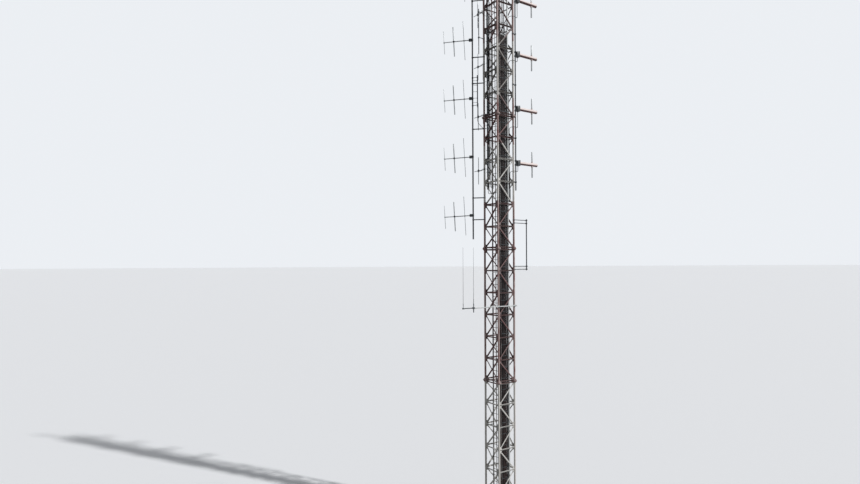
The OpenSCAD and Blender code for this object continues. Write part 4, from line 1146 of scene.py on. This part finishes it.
def lay_harness():
    """The thin cables that fill the mast: a bundle on the rack, and runs down the climbing ladder, the
    front face and the cable ladder. The loose ones waver by a few millimetres between their ties. Each
    starts in a rubber boot and ends in a boot, in a duct on the plinth or in the plinth's pit"""
    runs, ends, ducts = [], [], []
    loose = [(spot, BUNDLE_FOOT, 0.006) for spot in BUNDLE]
    loose += [(spot, PLINTH_TOP - 0.05, 0.003) for spot in ON_LADDER + ON_FRONT_FACE + BY_TRAY]
    loose += [(spot[:4], spot[4], 0.005) for spot in SHORT_RUNS]
    for number, ((x, y, radius, top), foot, waver) in enumerate(loose):
        steps = max(6, int((top - foot) / 0.5))
        points = [(x + waver * math.sin(2.3 * n + 1.7 * number), y + waver * math.sin(1.9 * n + 2.9 * number),
                   foot + (top - foot) * n / steps) for n in range(steps + 1)]
        runs.append(bent_rod(points, radius, 12))
        ends += boot(points[-1][0], points[-1][1], top, radius, 1)
        if foot < PLINTH_TOP:
            ducts.append(upright_bar(x, y, PLINTH_TOP - 0.01, PLINTH_TOP + 0.060, radius + 0.010, 18, 0.2))
        else:
            ends += boot(points[0][0], points[0][1], foot, radius, -1)
    for y, d, top in THIN_FEEDERS:
        runs.append(bent_rod([(TRAY_X + d / 2, y, 0.2 + (top - 0.2) * n / 12) for n in range(13)], d / 2, 16))
        ends += boot(TRAY_X + d / 2, y, top, d / 2, 1)
    finish(join(runs), "cable_harness", SHEATH, "cable_jacket")
    finish(join(ends), "cable_boots", RUBBER, "cable_jacket")
    finish(join(ducts), "cable_ducts", ENAMEL, "cable_jacket")


def fan_out_the_feeders():
    """Each feeder's connector and boot; from those at 22 m a jumper crosses inside the front face to
    the rack's side, sags a little on its way and ends in a boot by the bundle"""
    metal, rubber, tails = [], [], []
    for y, d, top in FEEDERS:
        x, r = TRAY_X + d / 2, d / 2
        metal.append(upright_bar(x, y, top - 0.004, top + 0.050, r * 1.12, 24, 0.12))
        metal.append(upright_bar(x, y, top + 0.014, top + 0.034, r * 1.22, 6, 0.08))
        rubber.append(upright_bar(x, y, top - 0.075, top + 0.002, r * 1.14, 24, 0.12))
        rubber.append(upright_bar(x, y, top + 0.046, top + 0.100, max(0.010, r * 0.62), 18, 0.4))
        if top == TAILS_START:
            lift = top + 0.25 + 0.028 * len(tails)
            lane = -0.370 + 0.017 * len(tails)
            goal = -0.262 - 0.026 * len(tails)
            foot = lift - 1.9
            route = [(x, y, top + 0.08), (x, y, top + 0.12), (0.290, y - 0.03, lift),
                     (0.285, lane, lift - 0.02), (0.0, lane, lift - 0.06),
                     (goal, -0.316, lift - 0.05), (goal, -0.316, foot)]
            tails.append(bent_rod(eased(route, 0.11), 0.007, 12))
            rubber += boot(goal, -0.316, foot, 0.007, -1)
    finish(join(metal), "feeder_connectors", ALUMINIUM, "aluminium")
    finish(join(rubber), "feeder_boots", RUBBER, "cable_jacket")
    finish(join(tails), "feeder_tails", SHEATH, "cable_jacket")


def strap(x0, x1, y0, y1):
    """A flat tie round what lies between x0, x1 and y0, y1"""
    width, depth = x1 - x0, y1 - y0
    return [*(block(((x0 + x1) / 2, y, 0), (width + 0.006, 0.003, 0.012), 0.001, steps=1) for y in (y0, y1)),
            *(block((x, (y0 + y1) / 2, 0), (0.003, depth, 0.012), 0.001, steps=1) for x in (x0, x1))]


def clip_the_cables():
    """Clamp blocks that hold each feeder to the cable ladder's bars, and ties round the thin cables"""
    clips = []
    for n in range(1, 47):
        z = PLINTH_TOP + 0.15 + 0.5 * n + 0.015
        clips += [(y, z, round(d / 2, 4)) for y, d, reach in FEEDERS + THIN_FEEDERS if z < reach - 0.09]
    parts = []
    for r in sorted({radius for _, _, radius in clips}):
        model = [block((TRAY_X + r, side * (r + 0.004), 0), (2 * r + 0.004, 0.006, 0.024), 0.001, steps=1)
                 for side in (-1, 1)]
        model.append(block((TRAY_X + 2 * r + 0.003, 0, 0), (0.005, 2 * r + 0.014, 0.024), 0.001, steps=1))
        model.append(round_bar((TRAY_X + 2 * r + 0.004, 0, 0), (TRAY_X + 2 * r + 0.012, 0, 0), 0.005, 6, 0.1))
        parts.append(copy_to(join(model), [moved(0, y, z) for y, z, radius in clips if radius == r]))
    finish(join(parts), "feeder_clips", DARK_ZINC, "galvanised_steel")
    middles = [PLINTH_TOP + n * BAY + 0.5 for n in range(BAYS * SECTIONS)]
    levels = [level_height(s, n) for s in range(1, SECTIONS + 1) for n in range(1, BAYS)]
    # What each kind of tie goes round, and its heights: none where the divider's feed crosses the bundle
    kinds = [(strap(RACK_X - 0.111, RACK_X + 0.080, RACK_Y + 0.004, -0.305),
              [z for z in middles if z > BUNDLE_FOOT and abs(z - DIVIDER_FEED_Z) > 0.1]),
             (strap(-0.250, -0.190, -0.238, -0.188), middles), (strap(0.190, 0.246, -0.238, -0.198), middles),
             (strap(0.200, 0.252, -0.417, -0.385), levels),
             (strap(0.303, 0.340, 0.202, 0.238), middles), (strap(0.360, 0.407, -0.328, -0.256), middles),
             (strap(-0.152, 0.076, -0.417, -0.386), [z for z in levels if z > 15.2])]
    ties = [copy_to(join(kind), [moved(0, 0, z) for z in heights]) for kind, heights in kinds]
    finish(join(ties), "harness_ties", RUBBER, "cable_jacket")


# ---- Floor, lights and background ----

def seen_directly(tree):
    """1 for what the camera, a gloss or clear glass sees, 0 for the light that falls on the object"""
    path = add(tree, "ShaderNodeLightPath").outputs
    seen = path["Is Camera Ray"]
    for ray in ("Is Glossy Ray", "Is Transmission Ray"):
        seen = add(tree, "ShaderNodeMath", {0: seen, 1: path[ray]}, operation="MAXIMUM").outputs[0]
    return seen


def make_stage():
    """A plain pale floor that throws little light back, a sun from the right, and an even pale sky"""
    clear_selection()
    bpy.ops.mesh.primitive_circle_add(vertices=96, radius=FLOOR_RADIUS, fill_type="NGON", location=(0, 0, 0))
    floor = bpy.context.object
    floor.name = "floor"
    material, tree, shader, _ = surface("pale_floor", roughness=0.9)
    colour = coat(tree, srgb("#6a6962"), srgb("#f1f2f4"), seen_directly(tree))
    tree.links.new(colour, shader.inputs["Base Color"])
    floor.data.materials.append(material)
    sun = bpy.data.lights.new("sun", "SUN")
    sun.energy = 2.9
    sun.angle = math.radians(1.5)
    lamp = bpy.data.objects.new("sun", sun)
    bpy.context.scene.collection.objects.link(lamp)
    lamp.rotation_euler = turn_to(SUN_SIDE)
    world = bpy.data.worlds.new("sky")
    bpy.context.scene.world = world
    world.use_nodes = True
    tree = world.node_tree
    back = tree.nodes["Background"]
    back.inputs["Color"].default_value = (0.93, 0.96, 1.0, 1)
    add(tree, "ShaderNodeMapRange", {"Value": seen_directly(tree), "To Min": 0.27, "To Max": 0.90},
        back.inputs["Strength"])
    bpy.context.scene.view_settings.view_transform = "Standard"


make_camera()
dress_mast()
bolt_the_joints()
anchor_the_base()
bolt_the_bracing()
dress_poles()
strap_the_saddles()
bolt_the_clamps()
make_yagis()
make_tube_dipoles()
make_side_dipoles()
make_collinear()
make_whips()
bolt_the_outrigger()
make_lightning_rod()
make_obstruction_light()
make_dividers()
make_splitters()
lay_jumpers()
lay_harness()
fan_out_the_feeders()
clip_the_cables()
make_stage()
